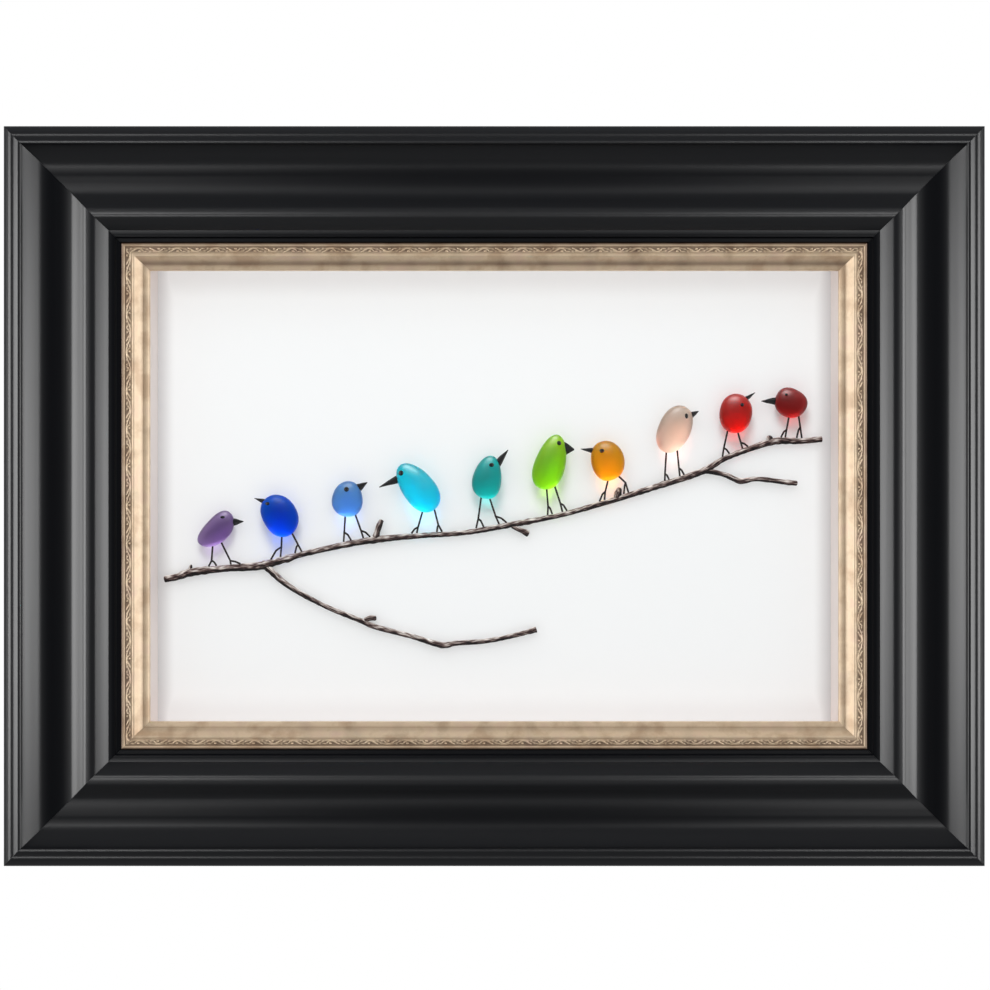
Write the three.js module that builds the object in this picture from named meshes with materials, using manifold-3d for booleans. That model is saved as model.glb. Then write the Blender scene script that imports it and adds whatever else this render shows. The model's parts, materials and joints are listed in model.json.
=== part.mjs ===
// Framed sea glass art, in millimetres. X runs right, Z runs up and the front faces -Y.
// A deep black scoop frame and a gold liner hold an open box with a white board at its back. On the
// board lies a forked twig, and ten pebbles of sea glass stand on it as birds, with chips of black
// stone for beaks and legs of bent wire. The origin is the middle of the top rail's flat back face.
import * as THREE from 'three';
import Module from 'manifold-3d';

const wasm = await Module();
wasm.setup();

// Window and mouldings, across the front
const SIGHT_WIDTH = 314;
const SIGHT_HEIGHT = 205.5;
const LINER_FACE = 12.3;
const RAIL_WIDTH = 51.5;
const LIP_COVER = 6.5;

// Front of the black rails, across and forwards: a sloped reed, a small one, a broad scoop, a bead and
// a ledge
const OUTER_REED = 4.5;
const INNER_REED = 3.8;
const BEAD_WIDTH = 11.4;
const LEDGE_WIDTH = 3.1;
const LIP_SHOULDER = 1.9;
const LIP_THICKNESS = 3.2;
const LEDGE_RISE = 2.2;
const BEAD_RISE = 4.6;
const SCOOP_DROP = 6;
const SCOOP_RISE = 9;
const REED_STEP = 1.3;
const REED_FALL = 3.1;

// Front of the gold liner, across and forwards: rim, bed of leaves, fillet, ogee and sight lip
const LINER_FLANGE = 3;
const LINER_RIM = 1.6;
const LEAF_BED = 3.3;
const LINER_FILLET = 1.3;
const SIGHT_LIP = 2.9;
const LINER_RISE = 3.3;
const BED_SINK = 0.5;
const OGEE_DROP = 3.1;

// Leaves of the liner
const LEAF_PITCH = 8.7;
const LEAF_LENGTH = 6.6;
const LEAF_WIDTH = 1.9;
const LEAF_HEIGHT = 0.8;
const LEAF_SLANT = 13;

// Depth of the open box and what closes it at the back
const RABBET_DEPTH = 30;
const PANEL_RECESS = 3;
const PANEL_THICKNESS = 2.5;
const BOARD_THICKNESS = 2.5;
const WALL_THICKNESS = 4;
const WALL_SETBACK = 2.5;

// Clearances
const RABBET_PLAY = 0.5;
const GAP = 0.3;
const MITRE_GAP = 0.22;

// Hanger
const HANGER_WIDTH = 44;
const HANGER_HEIGHT = 8;
const HANGER_THICKNESS = 1;
const HANGER_TOOTH = 3;
const HANGER_DROP = 14;

// Twig: how far its ends stay from the box walls, how far its middle lies off the board, its usual
// thickness, and how much its bark swells as a share of that
const TWIG_MARGIN = 4.3;
const TWIG_STANDOFF = 2.3;
const TWIG_THICKNESS = 2.6;
const BARK_RIPPLE = 0.07;

// Birds: the fullness is the power of the pebble's superellipse, which is an ellipse at 2, and a toe
// grips the stem this many degrees forwards of its top
const WIRE_RADIUS = 0.38;
const BEAK_THICKNESS = 2.4;
const PEBBLE_FLATNESS = 0.64;
const PEBBLE_FULLNESS = 2.15;
const BEAK_GAP = 0.48;
const TOE_TURN = 35;

const RAIL_BLACK = '#1a1b1e';
const LINER_GOLD = '#c4ae90';
const BOARD_WHITE = '#f2f3f3';
const WALL_GREY = '#d8d0cb';
const PANEL_BROWN = '#8b6f52';
const STEEL = '#a9abad';
const BARK = '#5a4a46';
const STONE_BLACK = '#16161a';
const WIRE_BROWN = '#2a2220';

// Sizes that follow from the driving ones
const linerReach = LINER_FACE + LIP_COVER;
const outerWidth = SIGHT_WIDTH + 2 * (LINER_FACE + RAIL_WIDTH);
const outerHeight = SIGHT_HEIGHT + 2 * (LINER_FACE + RAIL_WIDTH);
const backLand = RAIL_WIDTH - LIP_COVER;
const rabbetWidth = outerWidth - 2 * backLand;
const rabbetHeight = outerHeight - 2 * backLand;
const boardFront = PANEL_RECESS + PANEL_THICKNESS + GAP + BOARD_THICKNESS;
const linerBack = RABBET_DEPTH - GAP - LINER_FLANGE;
const bedFront = RABBET_DEPTH + LINER_RISE - BED_SINK;
const twigSpan = SIGHT_WIDTH - 2 * TWIG_MARGIN;
const twigDepth = boardFront + GAP + TWIG_STANDOFF;

const part = new THREE.Group();

// Everything in front of the wall hangs below the origin, around the middle of the picture
const picture = new THREE.Group();
picture.position.z = -(outerHeight / 2 - backLand / 2);
part.add(picture);

function addMesh(name, geometry, color, roughness, metalness = 0) {
  const material = new THREE.MeshStandardMaterial({ color, roughness, metalness });
  const mesh = new THREE.Mesh(geometry, material);
  mesh.name = name;
  picture.add(mesh);
  return mesh;
}

function indexedGeometry(positions, triangles) {
  const geometry = new THREE.BufferGeometry();
  geometry.setAttribute('position', new THREE.Float32BufferAttribute(positions, 3));
  geometry.setIndex(triangles);
  return geometry;
}

function toSolid(geometry) {
  const vertProperties = new Float32Array(geometry.attributes.position.array);
  const triVerts = new Uint32Array(geometry.index.array);
  return new wasm.Manifold(new wasm.Mesh({ numProp: 3, vertProperties, triVerts }));
}

function toGeometry(solid) {
  const mesh = solid.getMesh();
  return indexedGeometry(Array.from(mesh.vertProperties), Array.from(mesh.triVerts));
}

// Joins rings of equal length into one closed skin, each end closed by a fan round its middle
function skinOfRings(rings) {
  const sides = rings[0].length;
  const positions = rings.flat().flatMap((p) => [p.x, p.y, p.z]);
  const triangles = [];
  for (let r = 0; r + 1 < rings.length; r += 1) {
    for (let s = 0; s < sides; s += 1) {
      const a = r * sides + s;
      const b = r * sides + (s + 1) % sides;
      triangles.push(a, b, b + sides, a, b + sides, a + sides);
    }
  }
  const last = rings.length - 1;
  for (const [ring, first, flip] of [[rings[0], 0, true], [rings[last], last * sides, false]]) {
    const middle = ring.reduce((sum, p) => sum.add(p), new THREE.Vector3()).divideScalar(sides);
    const hub = positions.length / 3;
    positions.push(middle.x, middle.y, middle.z);
    for (let s = 0; s < sides; s += 1) {
      const a = first + s;
      const b = first + (s + 1) % sides;
      triangles.push(hub, flip ? b : a, flip ? a : b);
    }
  }
  return indexedGeometry(positions, triangles);
}

// One side of a mitred surround. The profile's points give the distance in from the outer edge and
// the distance forwards from the back plane, and both ends are cut at 45 degrees.
function mitredSide(profile, span, reach) {
  const ring = (end) => profile.map(([inward, forward]) => (
    new THREE.Vector3(end * (span / 2 - inward - MITRE_GAP / 2), -forward, reach - inward)));
  const contour = profile.map(([inward, forward]) => new THREE.Vector2(inward, forward));
  const count = profile.length;
  const positions = [...ring(-1), ...ring(1)].flatMap((p) => [p.x, p.y, p.z]);
  const triangles = [];
  for (let i = 0; i < count; i += 1) {
    const next = (i + 1) % count;
    triangles.push(i, next, count + next, i, count + next, count + i);
  }
  for (const [a, b, c] of THREE.ShapeUtils.triangulateShape(contour, [])) {
    triangles.push(a, b, c, count + a, count + c, count + b);
  }
  return indexedGeometry(positions, triangles);
}

// The four sides of a surround, each turned about the middle of the picture
function surroundSides(width, height) {
  return [
    { side: 'top', span: width, reach: height / 2, turn: 0 },
    { side: 'right', span: height, reach: width / 2, turn: Math.PI / 2 },
    { side: 'bottom', span: width, reach: height / 2, turn: Math.PI },
    { side: 'left', span: height, reach: width / 2, turn: -Math.PI / 2 },
  ];
}

// Black rail: a flat back, a rabbet under the lip, and the moulded front from the outer edge inwards
function railProfile() {
  const scoopStart = OUTER_REED + INNER_REED;
  const lipTop = RABBET_DEPTH + LIP_THICKNESS;
  const ledgeEnd = RAIL_WIDTH - LIP_SHOULDER;
  const beadEnd = ledgeEnd - LEDGE_WIDTH;
  const beadStart = beadEnd - BEAD_WIDTH;
  const ledge = lipTop + LEDGE_RISE;
  const crest = ledge + BEAD_RISE;
  const trough = crest - SCOOP_DROP;
  const outerTop = trough + SCOOP_RISE;
  const shoulder = crest - BEAD_RISE / 4;
  const reedTop = outerTop - REED_STEP;
  const scoopTop = outerTop - REED_STEP * 0.3;
  const points = [[0, 0], [0, reedTop - REED_FALL]];
  points.push([OUTER_REED * 0.5, reedTop - REED_FALL * 0.35]);
  points.push([OUTER_REED, reedTop]);
  points.push([OUTER_REED + INNER_REED * 0.35, outerTop - REED_STEP * 0.2]);
  points.push([OUTER_REED + INNER_REED * 0.7, outerTop]);
  points.push([scoopStart, scoopTop]);
  const scoopSteps = 9;
  for (let i = 1; i <= scoopSteps; i += 1) {
    const across = i / scoopSteps;
    const height = (across < 0.5 ? scoopTop : shoulder) - trough;
    points.push([scoopStart + (beadStart - scoopStart) * across, trough + height * (1 - 2 * across) ** 2]);
  }
  const beadSteps = 5;
  const crestAcross = BEAD_WIDTH * 0.35;
  points.push([beadStart + crestAcross * 0.55, crest - BEAD_RISE * 0.05]);
  for (let i = 0; i <= beadSteps; i += 1) {
    const turn = (i / beadSteps) * Math.PI / 2;
    const across = crestAcross + (BEAD_WIDTH - crestAcross) * Math.sin(turn);
    points.push([beadStart + across, ledge + BEAD_RISE * Math.cos(turn)]);
  }
  points.push([ledgeEnd - LEDGE_WIDTH * 0.3, ledge - 0.2]);
  points.push([ledgeEnd, lipTop + 0.4]);
  points.push([RAIL_WIDTH, lipTop], [RAIL_WIDTH, RABBET_DEPTH], [backLand, RABBET_DEPTH], [backLand, 0]);
  return points;
}

function addRails() {
  for (const { side, span, reach, turn } of surroundSides(outerWidth, outerHeight)) {
    const rail = addMesh(`rail_${side}`, mitredSide(railProfile(), span, reach), RAIL_BLACK, 0.35);
    rail.rotation.y = turn;
  }
}

// Gold liner: a flange under the black lip, then the moulded face down to the sight edge
function linerProfile() {
  const faceStart = LIP_COVER + GAP - RABBET_PLAY;
  const sightEdge = linerReach - RABBET_PLAY;
  const front = RABBET_DEPTH + LINER_RISE;
  const bedStart = faceStart + LINER_RIM;
  const bedEnd = bedStart + LEAF_BED;
  const filletEnd = bedEnd + LINER_FILLET;
  const lipStart = sightEdge - SIGHT_LIP;
  const lipFront = front - OGEE_DROP;
  return [
    [0, linerBack], [0, linerBack + LINER_FLANGE], [faceStart, linerBack + LINER_FLANGE],
    [faceStart, front - 0.8], [faceStart + 0.3, front - 0.1], [bedStart - 0.3, front],
    [bedStart, bedFront], [bedEnd, bedFront],
    [bedEnd + LINER_FILLET * 0.25, front + 0.2], [bedEnd + LINER_FILLET * 0.7, front + 0.2],
    [filletEnd, front - 0.3], [filletEnd + (lipStart - filletEnd) * 0.55, front - OGEE_DROP * 0.4],
    [lipStart - 0.5, lipFront - 0.2], [lipStart, lipFront - 0.3], [lipStart + 0.6, lipFront],
    [sightEdge - 1, lipFront - 0.1], [sightEdge - 0.2, lipFront - 0.5],
    [sightEdge, lipFront - 1], [sightEdge, linerBack],
  ];
}

// A pointed leaf with a raised rib, standing on the bed and sunk a little into it
function leafSolid(x, z, slant) {
  const half = LEAF_LENGTH / 2;
  const wide = LEAF_WIDTH / 2;
  const outline = [[half, 0], [half * 0.25, wide], [-half * 0.6, wide * 0.7],
    [-half, 0], [-half * 0.5, -wide], [half * 0.4, -wide * 0.7]];
  const rib = [[half * 0.45, 0], [-half * 0.55, 0]];
  const turn = THREE.MathUtils.degToRad(slant);
  const place = ([along, across], forward) => [
    x + along * Math.cos(turn) - across * Math.sin(turn), -(bedFront + forward),
    z + along * Math.sin(turn) + across * Math.cos(turn)];
  const low = outline.map((p) => place(p, -GAP));
  const high = rib.map((p) => place(p, LEAF_HEIGHT));
  const positions = [...low, ...high].flat();
  const triangles = [0, 1, 6, 1, 7, 6, 1, 2, 7, 2, 3, 7, 3, 4, 7, 4, 5, 7, 5, 6, 7, 5, 0, 6,
    0, 2, 1, 0, 3, 2, 0, 4, 3, 0, 5, 4];
  return toSolid(indexedGeometry(positions, triangles));
}

function addLiner() {
  const width = rabbetWidth - 2 * RABBET_PLAY;
  const height = rabbetHeight - 2 * RABBET_PLAY;
  const bedMiddle = LIP_COVER + GAP - RABBET_PLAY + LINER_RIM + LEAF_BED / 2;
  for (const { side, span, reach, turn } of surroundSides(width, height)) {
    let solid = toSolid(mitredSide(linerProfile(), span, reach));
    const run = span - 2 * bedMiddle - LEAF_LENGTH - LEAF_BED;
    const count = Math.round(run / LEAF_PITCH);
    for (let i = 0; i <= count; i += 1) {
      const x = -run / 2 + run * i / count;
      solid = solid.add(leafSolid(x, reach - bedMiddle, i % 2 ? LEAF_SLANT : -LEAF_SLANT));
    }
    const liner = addMesh(`liner_${side}`, toGeometry(solid), LINER_GOLD, 0.45, 0.6);
    liner.rotation.y = turn;
  }
}

// A flat board or strip that stands on edge, given by its middle, size and front and back
function addBoard(name, color, roughness, middle, size, back, front) {
  const board = addMesh(name, new THREE.BoxGeometry(size[0], front - back, size[1]), color, roughness);
  board.position.set(middle[0], -(front + back) / 2, middle[1]);
}

function addBox() {
  const inside = [rabbetWidth - 2 * RABBET_PLAY, rabbetHeight - 2 * RABBET_PLAY];
  addBoard('back_panel', PANEL_BROWN, 0.8, [0, 0], inside, PANEL_RECESS, PANEL_RECESS + PANEL_THICKNESS);
  addBoard('art_board', BOARD_WHITE, 0.7, [0, 0], inside, boardFront - BOARD_THICKNESS, boardFront);
  const sideX = SIGHT_WIDTH / 2 + WALL_THICKNESS / 2;
  const endZ = SIGHT_HEIGHT / 2 + WALL_SETBACK + WALL_THICKNESS / 2;
  const sideSize = [WALL_THICKNESS, 2 * endZ + WALL_THICKNESS];
  const endSize = [SIGHT_WIDTH - 2 * GAP, WALL_THICKNESS];
  const wallBack = boardFront + GAP;
  const wallFront = linerBack - GAP;
  for (const [name, toRight] of [['box_wall_left', -1], ['box_wall_right', 1]]) {
    addBoard(name, WALL_GREY, 0.7, [toRight * sideX, 0], sideSize, wallBack, wallFront);
  }
  for (const [name, up] of [['box_wall_bottom', -1], ['box_wall_top', 1]]) {
    addBoard(name, WALL_GREY, 0.7, [0, up * endZ], endSize, wallBack, wallFront);
  }
}

// Sawtooth hanger: a thin strip whose lower edge is cut into teeth between two plain ends
function addHanger() {
  const half = HANGER_WIDTH / 2;
  const end = HANGER_HEIGHT * 0.9;
  const teeth = Math.max(2, Math.round((HANGER_WIDTH - 2 * end) / HANGER_TOOTH));
  const step = (HANGER_WIDTH - 2 * end) / teeth;
  const outline = [[-half, HANGER_HEIGHT], [-half, 0], [-half + end, 0]];
  for (let i = 0; i < teeth; i += 1) {
    const x = -half + end + step * i;
    outline.push([x, step * 0.3], [x + step / 2, step]);
  }
  outline.push([half - end, step * 0.3], [half - end, 0], [half, 0], [half, HANGER_HEIGHT]);
  const shape = new THREE.Shape(outline.map(([x, y]) => new THREE.Vector2(x, y)));
  const strip = new THREE.ExtrudeGeometry(shape, { depth: HANGER_THICKNESS, bevelEnabled: false });
  strip.rotateX(Math.PI / 2);
  const hanger = addMesh('sawtooth_hanger', strip, STEEL, 0.4, 0.9);
  hanger.position.set(0, -(PANEL_RECESS - GAP - HANGER_THICKNESS), rabbetHeight / 2 - HANGER_DROP);
}

// A round limb along a smooth curve. Each point is x, z and radius, and the curve passes through all.
function limb(points, depth, steps, sides, ripple) {
  const curve = new THREE.CatmullRomCurve3(points.map(([x, z]) => new THREE.Vector3(x, -depth, z)));
  const forward = new THREE.Vector3(0, -1, 0);
  const rings = [];
  for (let i = 0; i <= steps; i += 1) {
    const t = i / steps;
    const place = t * (points.length - 1);
    const from = Math.min(Math.floor(place), points.length - 2);
    const plain = THREE.MathUtils.lerp(points[from][2], points[from + 1][2], place - from);
    const radius = plain * (1 + ripple * Math.sin(i * 2.4));
    rings.push(ringRound(curve.getPoint(t), curve.getTangent(t), forward, radius, sides));
  }
  return skinOfRings(rings);
}

function ringRound(middle, along, forward, radius, sides) {
  const across = new THREE.Vector3().crossVectors(along, forward).normalize();
  const outward = new THREE.Vector3().crossVectors(along, across).normalize();
  return Array.from({ length: sides }, (_, s) => {
    const turn = (s / sides) * 2 * Math.PI;
    return middle.clone()
      .addScaledVector(across, radius * Math.cos(turn))
      .addScaledVector(outward, radius * Math.sin(turn));
  });
}

// Twig: x and z are shares of its whole span, from the middle of the picture, and each radius is a
// share of its thickness
const twigStem = [[-0.5032, -0.1268, 0.56], [-0.484, -0.1232, 0.62], [-0.465, -0.1168, 0.73],
  [-0.407, -0.11, 0.6], [-0.356, -0.106, 0.77], [-0.295, -0.0892, 0.5], [-0.223, -0.0732, 0.56],
  [-0.18, -0.0662, 0.62], [-0.112, -0.0602, 0.48], [-0.049, -0.0562, 0.46], [0.0285, -0.043, 0.52],
  [0.1, -0.029, 0.46], [0.175, -0.008, 0.5], [0.247, 0.0144, 0.54], [0.32, 0.039, 0.6],
  [0.3495, 0.0565, 0.48], [0.398, 0.075, 0.54], [0.427, 0.0835, 0.65], [0.468, 0.084, 0.52],
  [0.5, 0.087, 0.54]];
const twigProng = [[0.318, 0.0385, 0.46], [0.335, 0.0365, 0.46], [0.354, 0.0315, 0.42],
  [0.375, 0.023, 0.56], [0.398, 0.026, 0.42], [0.445, 0.021, 0.44], [0.462, 0.0195, 0.46]];
const twigShoot = [[-0.348, -0.107, 0.65], [-0.318, -0.1335, 0.52], [-0.2625, -0.1655, 0.42],
  [-0.201, -0.191, 0.46], [-0.185, -0.198, 0.5], [-0.1265, -0.2135, 0.44], [-0.077, -0.2273, 0.58],
  [-0.06, -0.2245, 0.46], [-0.01, -0.2205, 0.44], [0.048, -0.208, 0.44], [0.0645, -0.203, 0.58]];
const twigStubs = [
  [[-0.1815, -0.065, 0.62], [-0.1768, -0.0485, 0.52], [-0.1715, -0.036, 0.42]],
  [[0.026, -0.0455, 0.38], [0.041, -0.0525, 0.44], [0.053, -0.0575, 0.65]],
  [[0.186, -0.004, 0.5], [0.1885, 0.004, 0.73], [0.191, 0.013, 0.38]],
  [[-0.198, -0.1895, 0.42], [-0.1895, -0.186, 0.5], [-0.1797, -0.1862, 0.46]],
  [[-0.463, -0.116, 0.42], [-0.463, -0.109, 0.35], [-0.462, -0.1045, 0.19]],
  [[0.421, 0.0825, 0.54], [0.4195, 0.0885, 0.5], [0.419, 0.0925, 0.27]],
];

function twigPoints(shares) {
  return shares.map(([x, z, radius]) => [x * twigSpan, z * twigSpan, radius * TWIG_THICKNESS]);
}

function addTwig() {
  let twig = toSolid(limb(twigPoints(twigStem), twigDepth, 48, 7, BARK_RIPPLE));
  twig = twig.add(toSolid(limb(twigPoints(twigShoot), twigDepth, 20, 6, BARK_RIPPLE)));
  twig = twig.add(toSolid(limb(twigPoints(twigProng), twigDepth, 11, 6, BARK_RIPPLE)));
  for (const stub of twigStubs) {
    twig = twig.add(toSolid(limb(twigPoints(stub), twigDepth, 3, 6, 0)));
  }
  addMesh('branch', toGeometry(twig), BARK, 0.85);
}

// The stem's middle height and radius above a place across the picture
function stemAt(x) {
  const points = twigPoints(twigStem);
  const curve = new THREE.CatmullRomCurve3(points.map(([px, pz]) => new THREE.Vector3(px, 0, pz)));
  const spans = points.length - 1;
  let low = 0;
  let high = 1;
  for (let i = 0; i < 30; i += 1) {
    const half = (low + high) / 2;
    if (curve.getPoint(half).x < x) {
      low = half;
    } else {
      high = half;
    }
  }
  const place = Math.min(low * spans, spans - 0.001);
  const from = Math.floor(place);
  const radius = THREE.MathUtils.lerp(points[from][2], points[from + 1][2], place - from);
  return { z: curve.getPoint(low).z, radius: radius * (1 + BARK_RIPPLE) };
}

// Birds from left to right. "along" is the place on the twig as a share of its span and "rise" the
// pebble's middle above the stem. A pebble has a length, a width, a tilt of its long axis from
// upright towards the right, a taper to its head and a bend of its middle, in mm and degrees. A beak
// starts where a ray at "from" leaves the pebble and points along "aim". A leg gives its hip, ankle
// and two toes as places right of the pebble's middle, and the ankle's height above the stem.
const birds = [
  { name: 'purple', color: '#8a6f96', along: -0.425, rise: 19, length: 20.3, width: 11.6, tilt: 45,
    taper: -0.09, bend: 1.3, beak: { from: 19, aim: 4, reach: 4.6, base: 3.5 },
    legs: [{ hip: -1, ankle: [-1.6, 4.3], toes: [-3, 0.7] },
      { hip: 2.9, ankle: [7.1, 3.4], toes: [7.3, 11.8] }] },
  { name: 'blue', color: '#0f48c8', along: -0.327, rise: 20.9, length: 20.5, width: 16, tilt: -30,
    taper: 0, bend: 0.4, beak: { from: 136, aim: 163, reach: 4.5, base: 2.5 },
    legs: [{ hip: 1.3, ankle: [0.9, 6.2], toes: [0.5, -4] },
      { hip: 6, ankle: [8.6, 5], toes: [10.3, 7.2] }] },
  { name: 'periwinkle', color: '#5585cc', along: -0.2225, rise: 21, length: 16.4, width: 14.2, tilt: 5,
    taper: 0.1, bend: -0.2, beak: { from: 46, aim: 31, reach: 4.6, base: 4 },
    legs: [{ hip: -1.2, ankle: [-1.8, 5.8], toes: [-2.1, 1.4] },
      { hip: 3.4, ankle: [6, 5.2], toes: [7.1, 10.3] }] },
  { name: 'cyan', color: '#1cb6e2', along: -0.117, rise: 22.6, length: 26.2, width: 15, tilt: -38,
    taper: 0.15, bend: 0.2, beak: { from: 159, aim: 203, reach: 9.1, base: 3.2 },
    legs: [{ hip: 2.5, ankle: [0.3, 4], toes: [-0.3, -2.8] },
      { hip: 7.9, ankle: [9.7, 4.6], toes: [11.5, 9] }] },
  { name: 'teal', color: '#12a296', along: -0.009, rise: 24, length: 20.3, width: 13.3, tilt: 9,
    taper: 0.2, bend: -0.5, beak: { from: 53, aim: 55, reach: 7.5, base: 3.4 },
    legs: [{ hip: -3.3, ankle: [-4.7, 5.6], toes: [-5.7, -2.2] },
      { hip: 0.6, ankle: [3.4, 5.2], toes: [5, 8.5] }] },
  { name: 'green', color: '#79c425', along: 0.0845, rise: 25.8, length: 26.2, width: 14.2, tilt: 17,
    taper: 0.2, bend: 0.4, beak: { from: 39, aim: -3, reach: 3.9, base: 5.4 },
    legs: [{ hip: -1.5, ankle: [-0.8, 5.4], toes: [-1, 1.2] },
      { hip: 2.2, ankle: [4.9, 5.5], toes: [5.9, 8] }] },
  { name: 'orange', color: '#e58f14', along: 0.171, rise: 19.2, length: 18.6, width: 15.4, tilt: -13,
    taper: 0.03, bend: 0.4, beak: { from: 145, aim: 172, reach: 5.5, base: 2.5 },
    legs: [{ hip: 0.6, ankle: [-0.6, 5.1], toes: [-1, -3.3] },
      { hip: 5.4, ankle: [8.8, 6.4], toes: [10.2, 8] }] },
  { name: 'cream', color: '#ddb9aa', along: 0.274, rise: 24.1, length: 23.2, width: 14.9, tilt: 25,
    taper: 0, bend: 0, beak: { from: 39, aim: 30, reach: 3.6, base: 2.9 },
    legs: [{ hip: -3.8, ankle: [-4.3, 4.8], toes: [-4.4, -2.4] },
      { hip: 1.2, ankle: [2.2, 5.3], toes: [2.6, 4.6] }] },
  { name: 'red', color: '#c8140c', along: 0.3665, rise: 18.9, length: 18.2, width: 15.1, tilt: 7,
    taper: 0, bend: 0.2, beak: { from: 54, aim: 33, reach: 4.8, base: 2.2 },
    legs: [{ hip: -3.6, ankle: [-5.2, 5.1], toes: [-5.8, -2.6] },
      { hip: 1.1, ankle: [2.7, 4.4], toes: [3.5, 6] }] },
  { name: 'crimson', color: '#a80f1c', along: 0.4515, rise: 18, length: 15.2, width: 13.7, tilt: -65,
    taper: -0.04, bend: -0.6, beak: { from: 177, aim: 180, reach: 6.4, base: 3.7 },
    legs: [{ hip: -1.1, ankle: [-2, 5.1], toes: [-2.6, -4.6] },
      { hip: 3.4, ankle: [4.4, 6.4], toes: [5.1, 2.7] }] },
];

// Signed power, which makes a superellipse out of a sine and a cosine
function plump(value) {
  return Math.sign(value) * Math.abs(value) ** (2 / PEBBLE_FULLNESS);
}

// A point of the pebble before it is tilted: "climb" runs from end to end, "turn" runs around it
function pebblePoint(bird, climb, turn) {
  const share = plump(Math.sin(climb));
  const girth = plump(Math.max(Math.cos(climb), 0)) * (1 - bird.taper * share);
  const half = bird.width / 2;
  return new THREE.Vector3(
    half * girth * Math.cos(turn) + bird.bend * (1 - share * share),
    half * PEBBLE_FLATNESS * girth * Math.sin(turn),
    share * bird.length / 2,
  );
}

// The tilted pebble's outline as seen from the front, counted from its middle
function pebbleOutline(bird) {
  const steps = 48;
  const tilt = THREE.MathUtils.degToRad(bird.tilt);
  return Array.from({ length: 2 * steps }, (_, i) => {
    const onRight = i < steps;
    const climb = (onRight ? i / steps : (2 * steps - i) / steps) * Math.PI - Math.PI / 2;
    const point = pebblePoint(bird, climb, onRight ? 0 : Math.PI);
    return new THREE.Vector2(point.x * Math.cos(tilt) + point.z * Math.sin(tilt),
      point.z * Math.cos(tilt) - point.x * Math.sin(tilt));
  });
}

// Where a ray from the pebble's middle crosses its outline
function outlineAlong(outline, direction) {
  for (let i = 0; i < outline.length; i += 1) {
    const a = outline[i];
    const b = outline[(i + 1) % outline.length];
    const sideA = direction.cross(a);
    const sideB = direction.cross(b);
    if (sideA * sideB <= 0 && direction.dot(a) > 0) {
      return a.clone().lerp(b, sideA / (sideA - sideB || 1));
    }
  }
  return outline[0].clone();
}

// The lowest point of the outline under a place across the pebble
function underside(outline, x) {
  let lowest = 0;
  for (let i = 0; i < outline.length; i += 1) {
    const a = outline[i];
    const b = outline[(i + 1) % outline.length];
    if ((a.x - x) * (b.x - x) <= 0 && a.x !== b.x) {
      lowest = Math.min(lowest, a.y + (b.y - a.y) * (x - a.x) / (b.x - a.x));
    }
  }
  return lowest;
}

function addPebble(bird, middle, depth) {
  const rows = 10;
  const sides = 14;
  const rings = [];
  for (let r = 1; r < rows; r += 1) {
    const climb = (r / rows - 0.5) * Math.PI;
    const turns = Array.from({ length: sides }, (_, s) => (s / sides) * 2 * Math.PI);
    rings.push(turns.map((turn) => pebblePoint(bird, climb, turn)));
  }
  const tip = bird.length / 2;
  const geometry = skinOfRings(rings);
  const places = geometry.attributes.position;
  places.setXYZ(places.count - 2, 0, 0, -tip);
  places.setXYZ(places.count - 1, 0, 0, tip);
  const pebble = addMesh(`pebble_${bird.name}`, geometry, bird.color, 0.5);
  pebble.position.set(middle.x, -depth, middle.y);
  pebble.rotation.y = THREE.MathUtils.degToRad(bird.tilt);
}

// Beak: a chip with four edges, its foot against the pebble, thinning over a mid ring to a blunt tip
function addBeak(bird, middle, depth, outline) {
  const { from, aim, reach, base } = bird.beak;
  const rayAt = (degrees) => {
    const turn = THREE.MathUtils.degToRad(degrees);
    return new THREE.Vector2(Math.cos(turn), Math.sin(turn));
  };
  const foot = outlineAlong(outline, rayAt(from));
  const spread = THREE.MathUtils.radToDeg(base / 2 / foot.length());
  const corners = [from + spread, from - spread].map((degrees) => {
    const ray = rayAt(degrees);
    return outlineAlong(outline, ray).addScaledVector(ray, BEAK_GAP);
  });
  const root = foot.clone().addScaledVector(rayAt(from), BEAK_GAP);
  const tip = foot.clone().addScaledVector(rayAt(aim), reach);
  const ringAt = (share, width) => {
    const centre = root.clone().lerp(tip, share);
    const half = BEAK_THICKNESS / 2 * width;
    const edge = corners.map((corner) => centre.clone().addScaledVector(corner.clone().sub(root), width));
    return [
      new THREE.Vector3(edge[0].x, 0, edge[0].y), new THREE.Vector3(centre.x, -half, centre.y),
      new THREE.Vector3(edge[1].x, 0, edge[1].y), new THREE.Vector3(centre.x, half, centre.y)];
  };
  const rings = [ringAt(0, 1), ringAt(0.45, 0.64), ringAt(1, 0.16)];
  const beak = addMesh(`beak_${bird.name}`, skinOfRings(rings), STONE_BLACK, 0.55);
  beak.position.set(middle.x, -depth, middle.y);
}

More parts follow.
